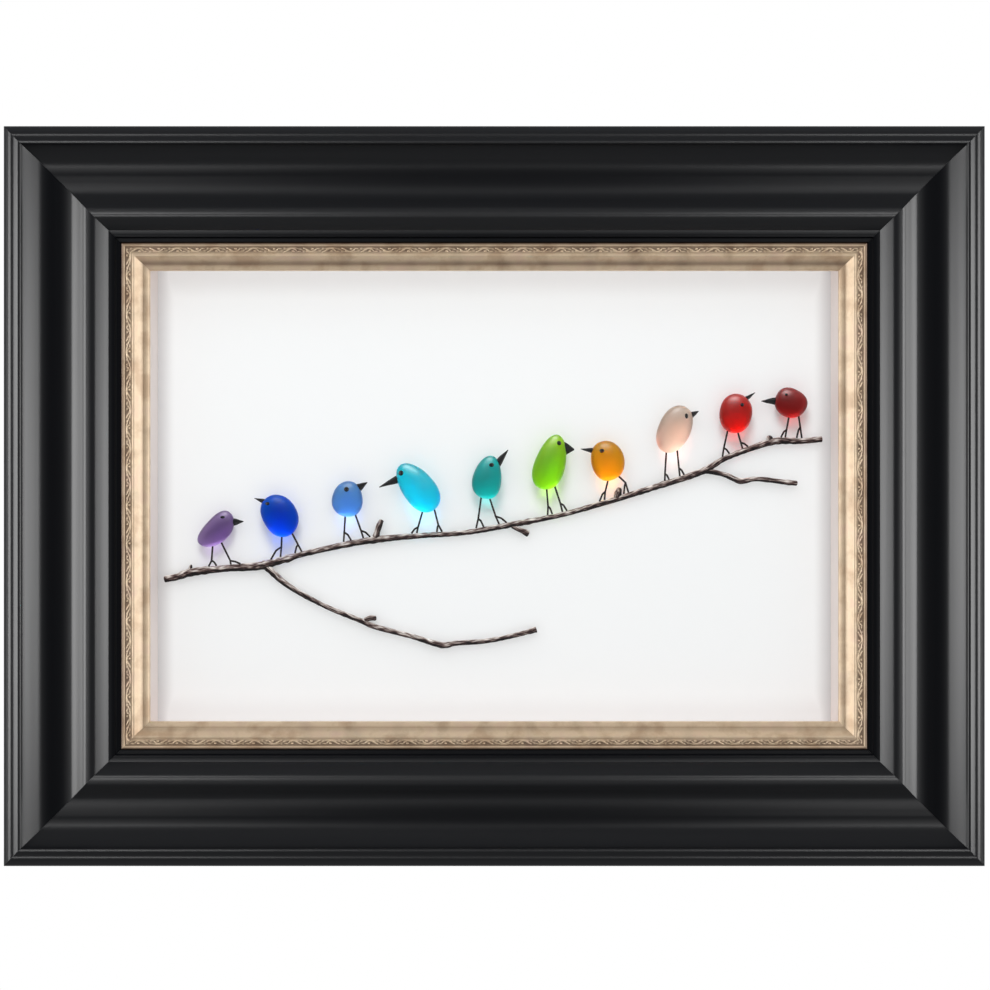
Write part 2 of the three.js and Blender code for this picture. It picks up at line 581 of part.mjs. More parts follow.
// A leg of bent wire: from the pebble down to an ankle and on to one toe, with a second toe from the
// ankle. Both toes end on the upper front of the stem.
function legSolid(bird, leg, middle, pebbleDepth, outline) {
  const clear = WIRE_RADIUS + GAP;
  const toeTurn = THREE.MathUtils.degToRad(TOE_TURN);
  const toePoint = (offset) => {
    const stem = stemAt(middle.x + offset);
    const reach = stem.radius + clear + WIRE_RADIUS / 2;
    return new THREE.Vector3(middle.x + offset, -(twigDepth + reach * Math.sin(toeTurn)),
      stem.z + reach * Math.cos(toeTurn));
  };
  const toes = leg.toes.map(toePoint);
  const ankleX = middle.x + leg.ankle[0];
  const ankle = new THREE.Vector3(ankleX, toes[0].y, stemAt(ankleX).z + leg.ankle[1]);
  const hipUp = middle.y + underside(outline, leg.hip) - clear;
  const hip = new THREE.Vector3(middle.x + leg.hip, -pebbleDepth, hipUp);
  const knuckleUp = THREE.MathUtils.lerp(ankle.z, toes[1].z, 0.28);
  const knuckle = new THREE.Vector3((ankle.x + toes[1].x) / 2, ankle.y, knuckleUp);
  const shank = toSolid(wire([hip, ankle, toes[0]]));
  return shank.add(toSolid(wire([ankle, knuckle, toes[1]])));
}

function wire(path) {
  const sides = 5;
  const forward = new THREE.Vector3(0, -1, 0);
  const rings = path.map((point, i) => {
    const along = path[Math.min(i + 1, path.length - 1)].clone().sub(path[Math.max(i - 1, 0)]).normalize();
    return ringRound(point, along, forward, WIRE_RADIUS, sides);
  });
  return skinOfRings(rings);
}

function addBird(bird) {
  const x = bird.along * twigSpan;
  const middle = new THREE.Vector2(x, stemAt(x).z + bird.rise);
  const depth = boardFront + GAP + bird.width / 2 * PEBBLE_FLATNESS * (1 + Math.abs(bird.taper));
  const outline = pebbleOutline(bird);
  addPebble(bird, middle, depth);
  addBeak(bird, middle, depth, outline);
  for (const [i, side] of ['left', 'right'].entries()) {
    const leg = legSolid(bird, bird.legs[i], middle, depth, outline);
    addMesh(`leg_${side}_${bird.name}`, toGeometry(leg), WIRE_BROWN, 0.6, 0.5);
  }
}

addRails();
addLiner();
addBox();
addHanger();
addTwig();
birds.forEach(addBird);

export default part;
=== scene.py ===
# Framed sea glass art: ten birds of sea glass on a twig, in an open box behind a black scoop frame.
# Sizes are in millimetres. A picture point is (right, forwards, up), counted from the middle of the
# picture and from the wall plane.
import json
import math
import bmesh
import bpy
import numpy as np
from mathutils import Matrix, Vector

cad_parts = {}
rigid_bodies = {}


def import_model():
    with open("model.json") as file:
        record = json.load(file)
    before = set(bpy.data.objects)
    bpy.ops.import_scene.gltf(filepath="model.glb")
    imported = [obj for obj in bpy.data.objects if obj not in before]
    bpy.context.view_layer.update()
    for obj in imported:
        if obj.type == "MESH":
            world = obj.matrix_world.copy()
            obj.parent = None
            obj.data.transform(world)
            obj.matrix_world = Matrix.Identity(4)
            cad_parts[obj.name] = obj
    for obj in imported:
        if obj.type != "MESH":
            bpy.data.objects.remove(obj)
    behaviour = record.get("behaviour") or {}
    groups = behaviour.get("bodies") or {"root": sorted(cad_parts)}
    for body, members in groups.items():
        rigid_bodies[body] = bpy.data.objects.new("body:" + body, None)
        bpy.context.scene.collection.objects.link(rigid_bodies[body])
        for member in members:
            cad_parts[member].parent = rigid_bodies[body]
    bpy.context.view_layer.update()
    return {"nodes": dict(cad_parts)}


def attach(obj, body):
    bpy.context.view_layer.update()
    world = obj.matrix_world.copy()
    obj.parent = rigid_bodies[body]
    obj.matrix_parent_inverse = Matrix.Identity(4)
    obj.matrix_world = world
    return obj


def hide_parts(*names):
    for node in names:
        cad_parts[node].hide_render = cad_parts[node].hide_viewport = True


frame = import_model()

MM = 0.001

# Window and mouldings, across the front
SIGHT_WIDTH = 314
SIGHT_HEIGHT = 205.5
LINER_FACE = 12.3
RAIL_WIDTH = 51.5
LIP_COVER = 6.5

# Front of the black rails
OUTER_REED = 4.5
INNER_REED = 3.8
BEAD_WIDTH = 11.4
LEDGE_WIDTH = 3.1
LIP_SHOULDER = 1.9
LIP_THICKNESS = 3.2
LEDGE_RISE = 2.2
BEAD_RISE = 4.6
SCOOP_DROP = 6
SCOOP_RISE = 9
REED_STEP = 1.3
REED_FALL = 3.1
TROUGH_MIDDLE = 22.3
TROUGH_REACH = 5.5

# Front of the gold liner
LINER_FLANGE = 3
LINER_RIM = 1.6
LEAF_BED = 3.3
LINER_FILLET = 1.3
SIGHT_LIP = 2.9
LINER_RISE = 3.3
BED_SINK = 0.5
OGEE_DROP = 3.1
LEAF_PITCH = 8.7
LEAF_HEIGHT = 0.8
LEAF_STEPS = 17

# Depth of the open box
RABBET_DEPTH = 30
PANEL_RECESS = 3
PANEL_THICKNESS = 2.5
BOARD_THICKNESS = 2.5
RABBET_PLAY = 0.5
GAP = 0.3
MITRE_GAP = 0.08

# Twig and birds
TWIG_MARGIN = 4.3
TWIG_STANDOFF = 2.3
TWIG_THICKNESS = 2.6
WIRE_RADIUS = 0.38
WIRE_SWELL = 1.14
WIRE_WAVE = 0.07
TOE_TURN = 35
BEAK_THICKNESS = 2.4
PEBBLE_FLATNESS = 0.64
PEBBLE_FULLNESS = 2.15

OUTER_WIDTH = SIGHT_WIDTH + 2 * (LINER_FACE + RAIL_WIDTH)
OUTER_HEIGHT = SIGHT_HEIGHT + 2 * (LINER_FACE + RAIL_WIDTH)
BACK_LAND = RAIL_WIDTH - LIP_COVER
RABBET_WIDTH = OUTER_WIDTH - 2 * BACK_LAND
RABBET_HEIGHT = OUTER_HEIGHT - 2 * BACK_LAND
BOARD_FRONT = PANEL_RECESS + PANEL_THICKNESS + GAP + BOARD_THICKNESS
LINER_BACK = RABBET_DEPTH - GAP - LINER_FLANGE
TWIG_SPAN = SIGHT_WIDTH - 2 * TWIG_MARGIN
TWIG_DEPTH = BOARD_FRONT + GAP + TWIG_STANDOFF
PICTURE_UP = -(OUTER_HEIGHT / 2 - BACK_LAND / 2)

# Camera: how far it stands from the front of the frame, and how much of it the picture takes in
CAMERA_DISTANCE = 800
FOCUS_DEPTH = 38.5
VIEW_WIDTH = 445.5
AIM_RIGHT = 0.34
AIM_UP = 0.5

# Softboxes: place, width, height, radiance, and whether they show in glossy surfaces alone
SOFTBOXES = {
    "softbox_left": ((-1200, 520, 0), 900, 760, 6.4, True),
    "softbox_right": ((1200, 520, 0), 900, 760, 6.4, True),
    "softbox_key": ((-80, 800, 900), 500, 400, 11.2, False),
    "softbox_top": ((-60, 520, 1150), 800, 500, 34.0, True)}

# Strips far off behind the camera, two to each side, one high and one low
STRIP_RIGHT = 560
STRIP_FORWARDS = 1400
STRIP_UP = 430
STRIP_WIDTH = 420
STRIP_HEIGHT = 450
STRIP_RADIANCE = 5.4

# Brightness of the room below and above, and where glossy surfaces show it
ROOM_BELOW = 0.38
ROOM_ABOVE = 1.31
ROOM_IN_GLOSS = 0.24


# Camera, light and floor

def place_camera():
    """Level camera straight in front of the frame, as far off as the photograph's."""
    camera = bpy.data.objects.new("camera", bpy.data.cameras.new("camera"))
    sensor = 36
    camera.data.sensor_width = sensor
    camera.data.lens = sensor * CAMERA_DISTANCE / VIEW_WIDTH
    camera.location = picture_place(AIM_RIGHT, FOCUS_DEPTH + CAMERA_DISTANCE, AIM_UP)
    camera.rotation_euler = (math.pi / 2, 0, 0)
    bpy.context.scene.collection.objects.link(camera)
    bpy.context.scene.camera = camera
    bpy.context.scene.view_settings.view_transform = "Standard"


def picture_place(right, forwards, up):
    """A picture point in the row frame, in metres."""
    return Vector((right * MM, -forwards * MM, (up + PICTURE_UP) * MM))


def add_softbox(name, place, width, height, radiance, for_shine):
    """Softbox that faces the middle of the picture. Its power is radiance x pi x its area. A box for
    shine shows in glossy surfaces alone, and the others light the matt and the clear ones."""
    light = bpy.data.lights.new(name, "AREA")
    light.shape = "RECTANGLE"
    light.size = width * MM
    light.size_y = height * MM
    light.energy = radiance * math.pi * light.size * light.size_y
    box = bpy.data.objects.new(name, light)
    box.location = picture_place(*place)
    aim = picture_place(0, BOARD_FRONT, 0) - box.location
    box.rotation_euler = aim.to_track_quat("-Z", "Y").to_euler()
    box.visible_glossy = for_shine
    box.visible_diffuse = not for_shine
    box.visible_transmission = not for_shine
    bpy.context.scene.collection.objects.link(box)


def light_the_room():
    """Side softboxes for the rails' long highlights, a soft key from above the camera, a top one that
    shines on the pebbles' heads, four strips whose shine runs along the long rails and fades towards
    their middles, and a pale room that is brighter above than below, and darker where glossy surfaces
    show it."""
    for name, (place, width, height, radiance, for_shine) in SOFTBOXES.items():
        add_softbox(name, place, width, height, radiance, for_shine)
    for right in (-STRIP_RIGHT, STRIP_RIGHT):
        for up in (-STRIP_UP, STRIP_UP):
            add_softbox(f"strip_{right}_{up}", (right, STRIP_FORWARDS, up), STRIP_WIDTH, STRIP_HEIGHT,
                        STRIP_RADIANCE, for_shine=True)
    world = bpy.data.worlds.new("room")
    world.use_nodes = True
    tree = world.node_tree
    tree.nodes.clear()
    place = add_node(tree, "ShaderNodeTexCoord")
    height = add_node(tree, "ShaderNodeSeparateXYZ", {0: place.outputs["Generated"]})
    glow = add_node(tree, "ShaderNodeMapRange", {
        "Value": height.outputs["Z"], "From Min": -0.5, "From Max": 0.9, "To Min": ROOM_BELOW,
        "To Max": ROOM_ABOVE})
    room = add_node(tree, "ShaderNodeBackground", {"Strength": glow.outputs["Result"]})
    dim = add_node(tree, "ShaderNodeBackground", {
        "Color": linear("#eef0f6"), "Strength": ROOM_IN_GLOSS})
    white = add_node(tree, "ShaderNodeBackground", {"Color": (1, 1, 1, 1)})
    path = add_node(tree, "ShaderNodeLightPath")
    lit = add_node(tree, "ShaderNodeMixShader", {
        0: path.outputs["Is Glossy Ray"], 1: room.outputs[0], 2: dim.outputs[0]})
    seen = add_node(tree, "ShaderNodeMixShader", {
        0: path.outputs["Is Camera Ray"], 1: lit.outputs[0], 2: white.outputs[0]})
    add_node(tree, "ShaderNodeOutputWorld", {0: seen.outputs[0]})
    bpy.context.scene.world = world


def flag_pieces(beginnings, state):
    """Collection of the pieces whose names begin so, for a light to take in or to leave out."""
    flagged = bpy.data.collections.new("flagged_pieces")
    for piece in bpy.data.objects:
        if piece.name.startswith(beginnings):
            flagged.objects.link(piece)
    for member in flagged.collection_objects:
        member.light_linking.link_state = state
    return flagged


def set_flags():
    """Flags keep each light to the pieces it is meant for, as in a studio. The side softboxes leave out
    the glass, the top one is for the glass, the strips shine on the long rails alone, and the key throws
    no shadow but those of the deep-coloured pebbles."""
    lights = {light.name: light.light_linking for light in bpy.data.objects if light.type == "LIGHT"}
    deep = ("glass_purple", "glass_blue", "glass_teal", "glass_green", "glass_red", "glass_crimson")
    lights["softbox_key"].blocker_collection = flag_pieces(deep, "INCLUDE")
    lights["softbox_top"].receiver_collection = flag_pieces(("glass",), "INCLUDE")
    for name, linking in lights.items():
        if name in ("softbox_left", "softbox_right"):
            linking.receiver_collection = flag_pieces(("glass",), "EXCLUDE")
            linking.blocker_collection = flag_pieces(("moulding",), "EXCLUDE")
        if name.startswith("strip"):
            linking.receiver_collection = flag_pieces(("moulding_top", "moulding_bottom"), "INCLUDE")


def lay_floor():
    """Plain pale floor, well under the hung frame."""
    reach = 2.4
    height = -1.4
    mesh = bpy.data.meshes.new("floor")
    corners = [(-reach, -reach, height), (reach, -reach, height), (reach, reach, height),
               (-reach, reach, height)]
    mesh.from_pydata(corners, [], [(0, 1, 2, 3)])
    floor = bpy.data.objects.new("floor", mesh)
    bpy.context.scene.collection.objects.link(floor)
    mesh.materials.append(new_finish("pale_floor", "#e9e9e7", roughness=0.9)[0])
    floor.visible_glossy = False


# Shader nodes

def linear(hex_colour):
    """sRGB hex to linear red, green, blue and a full alpha."""
    shades = [int(hex_colour[i:i + 2], 16) / 255 for i in (1, 3, 5)]
    return tuple(s / 12.92 if s <= 0.04045 else ((s + 0.055) / 1.055) ** 2.4 for s in shades) + (1.0,)


def add_node(tree, kind, inputs=None, stops=None, **settings):
    """Adds a node. Inputs are values or sockets to link; stops are a ramp's places and hex colours."""
    made = tree.nodes.new(kind)
    for name, value in settings.items():
        setattr(made, name, value)
    for socket, value in (inputs or {}).items():
        if isinstance(value, bpy.types.NodeSocket):
            tree.links.new(value, made.inputs[socket])
        else:
            made.inputs[socket].default_value = value
    for i, (place, colour) in enumerate(stops or []):
        ramp = made.color_ramp
        stop = ramp.elements[i] if i < len(ramp.elements) else ramp.elements.new(place)
        stop.position = place
        stop.color = linear(colour)
    return made


def new_finish(name, colour, roughness, **values):
    """A material with one Principled surface, its plain values on the shader's own sockets."""
    finish = bpy.data.materials.new(name)
    finish.use_nodes = True
    tree = finish.node_tree
    surface = tree.nodes["Principled BSDF"]
    surface.inputs["Base Color"].default_value = linear(colour)
    surface.inputs["Roughness"].default_value = roughness
    for socket, value in values.items():
        surface.inputs[socket.replace("_", " ")].default_value = value
    return finish, tree, surface


def grain_through(tree, scale, detail=2.0, distortion=0.0):
    """Noise through the whole body of a piece, with so many features to the metre."""
    place = add_node(tree, "ShaderNodeTexCoord")
    return add_node(tree, "ShaderNodeTexNoise", {
        "Vector": place.outputs["Object"], "Scale": scale, "Detail": detail, "Distortion": distortion})


def grain_along(tree, along, across, detail):
    """Noise drawn out along a piece, with so many features to the metre along it and across it."""
    place = add_node(tree, "ShaderNodeUVMap", uv_map="along_across")
    drawn = add_node(tree, "ShaderNodeMapping", {"Vector": place.outputs[0], "Scale": (along, across, 1)})
    return add_node(tree, "ShaderNodeTexNoise", {
        "Vector": drawn.outputs[0], "Scale": 1.0, "Detail": detail})


def colour_by(tree, surface, share, stops):
    """Colours the surface along a ramp of hex colours."""
    shade = add_node(tree, "ShaderNodeValToRGB", {"Fac": share}, stops=stops)
    tree.links.new(shade.outputs["Color"], surface.inputs["Base Color"])


def vary(tree, surface, socket, share, start, end):
    """Lets one of the surface's values run from start to end."""
    ranged = add_node(tree, "ShaderNodeMapRange", {"Value": share, "To Min": start, "To Max": end})
    tree.links.new(ranged.outputs["Result"], surface.inputs[socket])


def emboss(tree, surface, height, strength, distance):
    """Raises the surface's fine texture. The distance is in metres."""
    relief = add_node(tree, "ShaderNodeBump", {
        "Height": height, "Strength": strength, "Distance": distance})
    tree.links.new(relief.outputs[0], surface.inputs["Normal"])


# Finishes

def satin_lacquer():
    """Black lacquer sprayed on sanded poplar and rubbed to a satin: a deep soft shine in which the
    grain below shows as faint long streaks. The rubbing doesn't reach the hollows and the outer sides,
    which mirror little."""
    finish, tree, surface = new_finish("satin_black_lacquer", "#0b0c0f", roughness=0.3, IOR=1.52)
    grain = grain_along(tree, 6, 420, detail=4.0)
    hollow = add_node(tree, "ShaderNodeAttribute", attribute_name="wash")
    vary(tree, surface, "Roughness", grain.outputs["Fac"], 0.26, 0.36)
    vary(tree, surface, "Specular IOR Level", hollow.outputs["Fac"], 0.5, 0.1)
    emboss(tree, surface, grain.outputs["Fac"], 0.12, 0.0001)
    return finish


def stained_back():
    """Sawn back of the moulding, brushed with thin black stain: matt, with the wood's pores showing."""
    finish, tree, surface = new_finish("stained_sawn_wood", "#1d1a18", roughness=0.85)
    grain = grain_along(tree, 12, 260, detail=6.0)
    colour_by(tree, surface, grain.outputs["Fac"], [(0.3, "#120f0e"), (0.7, "#3a322c")])
    emboss(tree, surface, grain.outputs["Fac"], 0.5, 0.0003)
    return finish


def champagne_leaf():
    """Champagne gold leaf over pressed composition, toned brown in the low places: a warm broken shine
    with dark pits between the leaves. The same brown also lays painted shadow and painted shade on the
    liner, where make_liner sets them."""
    finish, tree, surface = new_finish("champagne_gold_leaf", "#dccab4", roughness=0.6, Metallic=0.6,
                                       Coat_Weight=0.5, Coat_Roughness=0.35)
    blotches = grain_through(tree, 110.0, detail=5.0)
    leaf = add_node(tree, "ShaderNodeValToRGB", {"Fac": blotches.outputs["Fac"]},
                    stops=[(0.35, "#c9ae90"), (0.52, "#dec8aa"), (0.7, "#dabfa6")])
    toning_and_shade = add_node(tree, "ShaderNodeAttribute", attribute_name="wash")
    # brown by the per-point share: toning in the low places, plus painted shadow and shade
    worn = add_node(tree, "ShaderNodeMix", {
        0: toning_and_shade.outputs["Fac"], 6: leaf.outputs["Color"], 7: linear("#5d4330")}, data_type="RGBA")
    tree.links.new(worn.outputs[2], surface.inputs["Base Color"])
    speckle = grain_through(tree, 1400.0, detail=3.0)
    vary(tree, surface, "Roughness", speckle.outputs["Fac"], 0.5, 0.68)
    emboss(tree, surface, speckle.outputs["Fac"], 0.25, 0.0002)
    return finish


def white_card(name, colour):
    """Uncoated white mount card: matt, with the cloudy tooth of its paper."""
    finish, tree, surface = new_finish(name, colour, roughness=0.85)
    tooth = grain_through(tree, 1800.0, detail=4.0)
    emboss(tree, surface, tooth.outputs["Fac"], 0.15, 0.0001)
    return finish, tree, surface


def board_with_painted_shade():
    """The mount card behind the birds: white, with painted shade that greys it along the side walls of
    the box and, less, along the top and bottom ones.
    """
    unshaded_white = "#f6f8f9"
    finish, tree, surface = white_card("white_mount_card", unshaded_white)
    place = add_node(tree, "ShaderNodeTexCoord")
    middle = add_node(tree, "ShaderNodeVectorMath", {
        0: place.outputs["Object"], 1: (0, 0, -PICTURE_UP * MM)}, operation="ADD")
    distance = add_node(tree, "ShaderNodeVectorMath", {0: middle.outputs[0]}, operation="ABSOLUTE")
    sides = add_node(tree, "ShaderNodeSeparateXYZ", {0: distance.outputs[0]})
    beside = add_node(tree, "ShaderNodeMapRange", {
        "Value": sides.outputs["X"], "From Min": (SIGHT_WIDTH / 2 - 8.5) * MM,
        "From Max": SIGHT_WIDTH / 2 * MM}, interpolation_type="SMOOTHSTEP")
    above = add_node(tree, "ShaderNodeMapRange", {
        "Value": sides.outputs["Z"], "From Min": (SIGHT_HEIGHT / 2 - 12) * MM,
        "From Max": SIGHT_HEIGHT / 2 * MM, "To Max": 0.4}, interpolation_type="SMOOTHSTEP")
    # painted shade: how near the card is to a box wall, where the wall would shade it
    dust = add_node(tree, "ShaderNodeMath", {
        0: beside.outputs["Result"], 1: above.outputs["Result"]}, operation="MAXIMUM")
    shade = add_node(tree, "ShaderNodeMix", {
        0: dust.outputs[0], 6: linear(unshaded_white), 7: linear("#d0cfd0")}, data_type="RGBA")
    tree.links.new(shade.outputs[2], surface.inputs["Base Color"])
    return finish


def pressed_hardboard():
    """Brown hardboard pressed from wood fibre: dull, mottled, with loose darker fibres."""
    finish, tree, surface = new_finish("pressed_hardboard", "#7d5f43", roughness=0.8)
    fibres = grain_through(tree, 500.0, detail=8.0, distortion=0.6)
    colour_by(tree, surface, fibres.outputs["Fac"],
              [(0.3, "#5d452f"), (0.5, "#80613f"), (0.72, "#a07f5b")])
    emboss(tree, surface, fibres.outputs["Fac"], 0.4, 0.0003)
    return finish


def zinc_plate():
    """Zinc-plated strip steel, stamped: pale grey metal with small crystals and a light brushing."""
    finish, tree, surface = new_finish("zinc_plated_steel", "#b4b7bb", roughness=0.35, Metallic=1.0)
    place = add_node(tree, "ShaderNodeTexCoord")
    crystals = add_node(tree, "ShaderNodeTexVoronoi", {
        "Vector": place.outputs["Object"], "Scale": 700.0})
    vary(tree, surface, "Roughness", crystals.outputs["Distance"], 0.26, 0.5)
    return finish


def sea_glass(name, tint, depth_tint, frost):
    """Beach glass, ground to a frost by sand and surf: light goes in, is coloured by the depth of the
    glass and leaks out softly, and the pitted skin holds a pale bloom where the light strikes it."""
    finish, tree, surface = new_finish(
        name, tint, roughness=0.45, IOR=1.45, Transmission_Weight=0.95, Specular_Tint=linear("#3a3a3a"),
        Coat_Weight=frost, Coat_Roughness=0.42, Coat_IOR=1.35)
    pits = grain_through(tree, 900.0, detail=5.0)
    vary(tree, surface, "Roughness", pits.outputs["Fac"], 0.4, 0.55)
    emboss(tree, surface, pits.outputs["Fac"], 0.2, 0.0002)
    body = add_node(tree, "ShaderNodeVolumeAbsorption", {"Color": linear(depth_tint), "Density": 110.0})
    tree.links.new(body.outputs[0], tree.nodes["Material Output"].inputs["Volume"])
    return finish


def dry_bark():
    """Thin bark dried on the twig: nearly black in its long creases, red-brown between them and pale
    grey on the raised flakes, with painted light making its upper side paler and its underside darker."""
    finish, tree, surface = new_finish("dry_twig_bark", "#5a4a46", roughness=0.95)
    streaks = grain_along(tree, 240, 1900, detail=6.0)
    height = add_node(tree, "ShaderNodeAttribute", attribute_name="wash")
    # the ramp follows the relief and the painted light: paler on each limb's upper side, darker below
    worn = add_node(tree, "ShaderNodeMix", {0: 0.5, 2: height.outputs["Fac"], 3: streaks.outputs["Fac"]})
    colour_by(tree, surface, worn.outputs[0], [
        (0.38, "#080304"), (0.45, "#2c191b"), (0.5, "#57433f"), (0.57, "#978a84"), (0.68, "#e6e0db")])
    emboss(tree, surface, streaks.outputs["Fac"], 0.7, 0.0004)
    return finish


def split_basalt():
    """Chips of black basalt, split by hand: dense, with dull grey facets and fine grain."""
    finish, tree, surface = new_finish("split_black_basalt", "#0e0d0f", roughness=0.5)
    grain = grain_through(tree, 1500.0, detail=4.0)
    colour_by(tree, surface, grain.outputs["Fac"], [(0.35, "#070708"), (0.7, "#1c1b1e")])
    emboss(tree, surface, grain.outputs["Fac"], 0.3, 0.0002)
    return finish


def annealed_wire():
    """Soft black iron wire, annealed: a brown-black oxide skin with a dull metal shine."""
    finish, tree, surface = new_finish("annealed_iron_wire", "#1e1715", roughness=0.5, Metallic=0.4)
    scale = grain_through(tree, 1200.0, detail=4.0)
    colour_by(tree, surface, scale.outputs["Fac"], [(0.35, "#0d0908"), (0.7, "#302623")])
    return finish


def black_enamel():
    """A drop of black enamel: smooth, wet-looking and round at its edge."""
    finish, tree, surface = new_finish("black_enamel_drop", "#050507", roughness=0.3)
    dust = grain_through(tree, 2500.0)
    vary(tree, surface, "Roughness", dust.outputs["Fac"], 0.24, 0.36)
    return finish


# Meshes

def loft_faces(sections, around, first):
    """Quads between neighbouring closed sections of "around" points, and one face over each end."""
    here = first + np.arange(sections * around).reshape(sections, around)
    beside = np.roll(here, -1, axis=1)
    quads = np.stack([here[:-1], beside[:-1], beside[1:], here[1:]], axis=-1).reshape(-1, 4)
    return quads.tolist() + [here[0, ::-1].tolist(), here[-1].tolist()]


def make_piece(name, finishes, lofts, nodes=(), uv=None, wash=None, sharp=None, back=None):
    """One mesh from lofts, which are arrays of sections x points x (right, forwards, up). It rides on
    the frame and stands for the CAD nodes. "uv" and "wash" hold a pair and a share for each
    point, and "back" picks the faces that take the second finish by their place in the section. On the
    liner and the twig the share holds painted light and shade as well as the finish's own toning."""
    points = np.concatenate([loft.reshape(-1, 3) for loft in lofts])
    placed = np.stack([points[:, 0], -points[:, 1], points[:, 2] + PICTURE_UP], axis=1) * MM
    faces = []
    first = 0
    for loft in lofts:
        faces += loft_faces(loft.shape[0], loft.shape[1], first)
        first += loft.shape[0] * loft.shape[1]
    mesh = bpy.data.meshes.new(name)
    mesh.from_pydata(placed.tolist(), [], faces)
    if back is not None:
        mesh.polygons.foreach_set("material_index", back.astype(np.int32))
    turn_outwards(mesh)
    mesh.shade_smooth()
    if sharp:
        mesh.set_sharp_from_angle(angle=math.radians(sharp))
    if uv is not None:
        corners = np.empty(len(mesh.loops), dtype=np.int32)
        mesh.loops.foreach_get("vertex_index", corners)
        mesh.uv_layers.new(name="along_across").data.foreach_set("uv", uv[corners].ravel() * MM)
    if wash is not None:
        mesh.attributes.new("wash", "FLOAT", "POINT").data.foreach_set("value", wash.ravel())
    for finish in finishes:
        mesh.materials.append(finish)
    piece = bpy.data.objects.new(name, mesh)
    bpy.context.scene.collection.objects.link(piece)
    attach(piece, "root")
    if nodes:
        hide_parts(*nodes)
    return piece


def turn_outwards(mesh):
    """Makes the faces of each closed shell point out of it."""
    shell = bmesh.new()
    shell.from_mesh(mesh)
    bmesh.ops.recalc_face_normals(shell, faces=shell.faces)
    shell.to_mesh(mesh)
    shell.free()


def ripple(points, size, waves, seed):
    """Smooth noise from -1 to 1: the mean of sines that run in random directions, about "size" long."""
    chance = np.random.default_rng(seed)
    directions = chance.normal(size=(waves, points.shape[-1]))
    directions *= 2 * np.pi / size / np.linalg.norm(directions, axis=1, keepdims=True)
    directions *= chance.uniform(0.7, 1.4, (waves, 1))
    phases = chance.uniform(0, 2 * np.pi, waves)
    return np.sin(points @ directions.T + phases).mean(axis=-1) * math.sqrt(2)


# Black rails and gold liner

def curve_through(knots, steps):
    """Smooth section through the knots: each span is a cubic with the knots' heights and slopes."""
    points = []
    for (u0, h0, s0), (u1, h1, s1) in zip(knots, knots[1:]):
        t = np.linspace(0, 1, steps, endpoint=False)
        run = u1 - u0
        height = (h0 * (1 + 2 * t) * (1 - t) ** 2 + s0 * run * t * (1 - t) ** 2
                  + h1 * t ** 2 * (3 - 2 * t) + s1 * run * t ** 2 * (t - 1))
        points.append(np.stack([u0 + run * t, height], 1))
    return np.concatenate(points + [[knots[-1][:2]]])


def rail_profile():
    """Section of the black rail as (inwards, forwards): a sloped reed, a small round one, the scoop and
    the bead, the ledge and the lip, then the rabbet and the back."""
    scoop_start = OUTER_REED + INNER_REED
    lip_top = RABBET_DEPTH + LIP_THICKNESS
    ledge_end = RAIL_WIDTH - LIP_SHOULDER
    bead_end = ledge_end - LEDGE_WIDTH
    bead_start = bead_end - BEAD_WIDTH
    ledge = lip_top + LEDGE_RISE
    crest = ledge + BEAD_RISE
    trough = crest - SCOOP_DROP
    outer_top = trough + SCOOP_RISE
    reed_top = outer_top - REED_STEP
    slope = [[0, reed_top - REED_FALL - 0.5], [0.12, reed_top - REED_FALL - 0.2],
             [0.35, reed_top - REED_FALL + 0.33], [1.5, reed_top - 1.76], [2.5, reed_top - 0.86],
             [3.1, reed_top - 0.42], [3.75, reed_top - 0.16], [OUTER_REED - 0.1, reed_top - 0.08]]
    reed = [[OUTER_REED + 0.15, reed_top - 0.09], [OUTER_REED + 1.1, reed_top + 0.17],
            [scoop_start - 0.95, outer_top - 0.24], [scoop_start - 0.75, outer_top - 0.06],
            [scoop_start - 0.35, outer_top - 0.01], [scoop_start, outer_top - 0.09]]
    front = curve_through([
        (scoop_start + 0.3, outer_top - 0.35, -1.3), (scoop_start + 1.1, outer_top - 1.55, -1.15),
        (TROUGH_MIDDLE - 7.5, trough + 2.8, -0.75), (TROUGH_MIDDLE - 3.8, trough + 1.05, -0.25),
        (TROUGH_MIDDLE, trough + 0.4, 0),
        (bead_start - 5.6, trough + 1.0, 0.2), (bead_start - 3.6, trough + 1.85, 0.58),
        (bead_start, trough + 4.3, 0.66), (bead_start + 2.1, trough + 5.62, 0.2),
        (bead_start + 4.6, crest, 0), (bead_start + 6.5, crest - 0.65, -0.68),
        (bead_end, ledge, -1.15)], 6)
    ledge_face = [
        [bead_end + 0.06, ledge - 0.01], [ledge_end - 1.2, ledge - 0.2], [ledge_end - 0.35, ledge - 0.4],
        [ledge_end, lip_top + 0.8], [ledge_end + 0.25, lip_top + 0.2], [RAIL_WIDTH - 0.12, lip_top],
        [RAIL_WIDTH, lip_top - 0.3], [RAIL_WIDTH, RABBET_DEPTH], [BACK_LAND, RABBET_DEPTH]]
    back = [[BACK_LAND, 0.3], [BACK_LAND - 0.3, 0], [0.3, 0], [0, 0.3]]
    return np.concatenate([slope, reed, front, ledge_face, back])


def profile_length(profile):
    """Length along the section's outline from its first point to each point, in mm."""
    steps = np.linalg.norm(np.diff(profile, axis=0), axis=1)
    return np.concatenate([[0], np.cumsum(steps)])


SIDES = {"top": 0, "right": 90, "bottom": 180, "left": -90}


def turn_side(points, side):
    """Turns a side that was made for the top about the middle of the picture."""
    angle = math.radians(SIDES[side])
    right = points[..., 0] * math.cos(angle) + points[..., 2] * math.sin(angle)
    up = points[..., 2] * math.cos(angle) - points[..., 0] * math.sin(angle)
    return np.stack([right, points[..., 1], up], axis=-1)


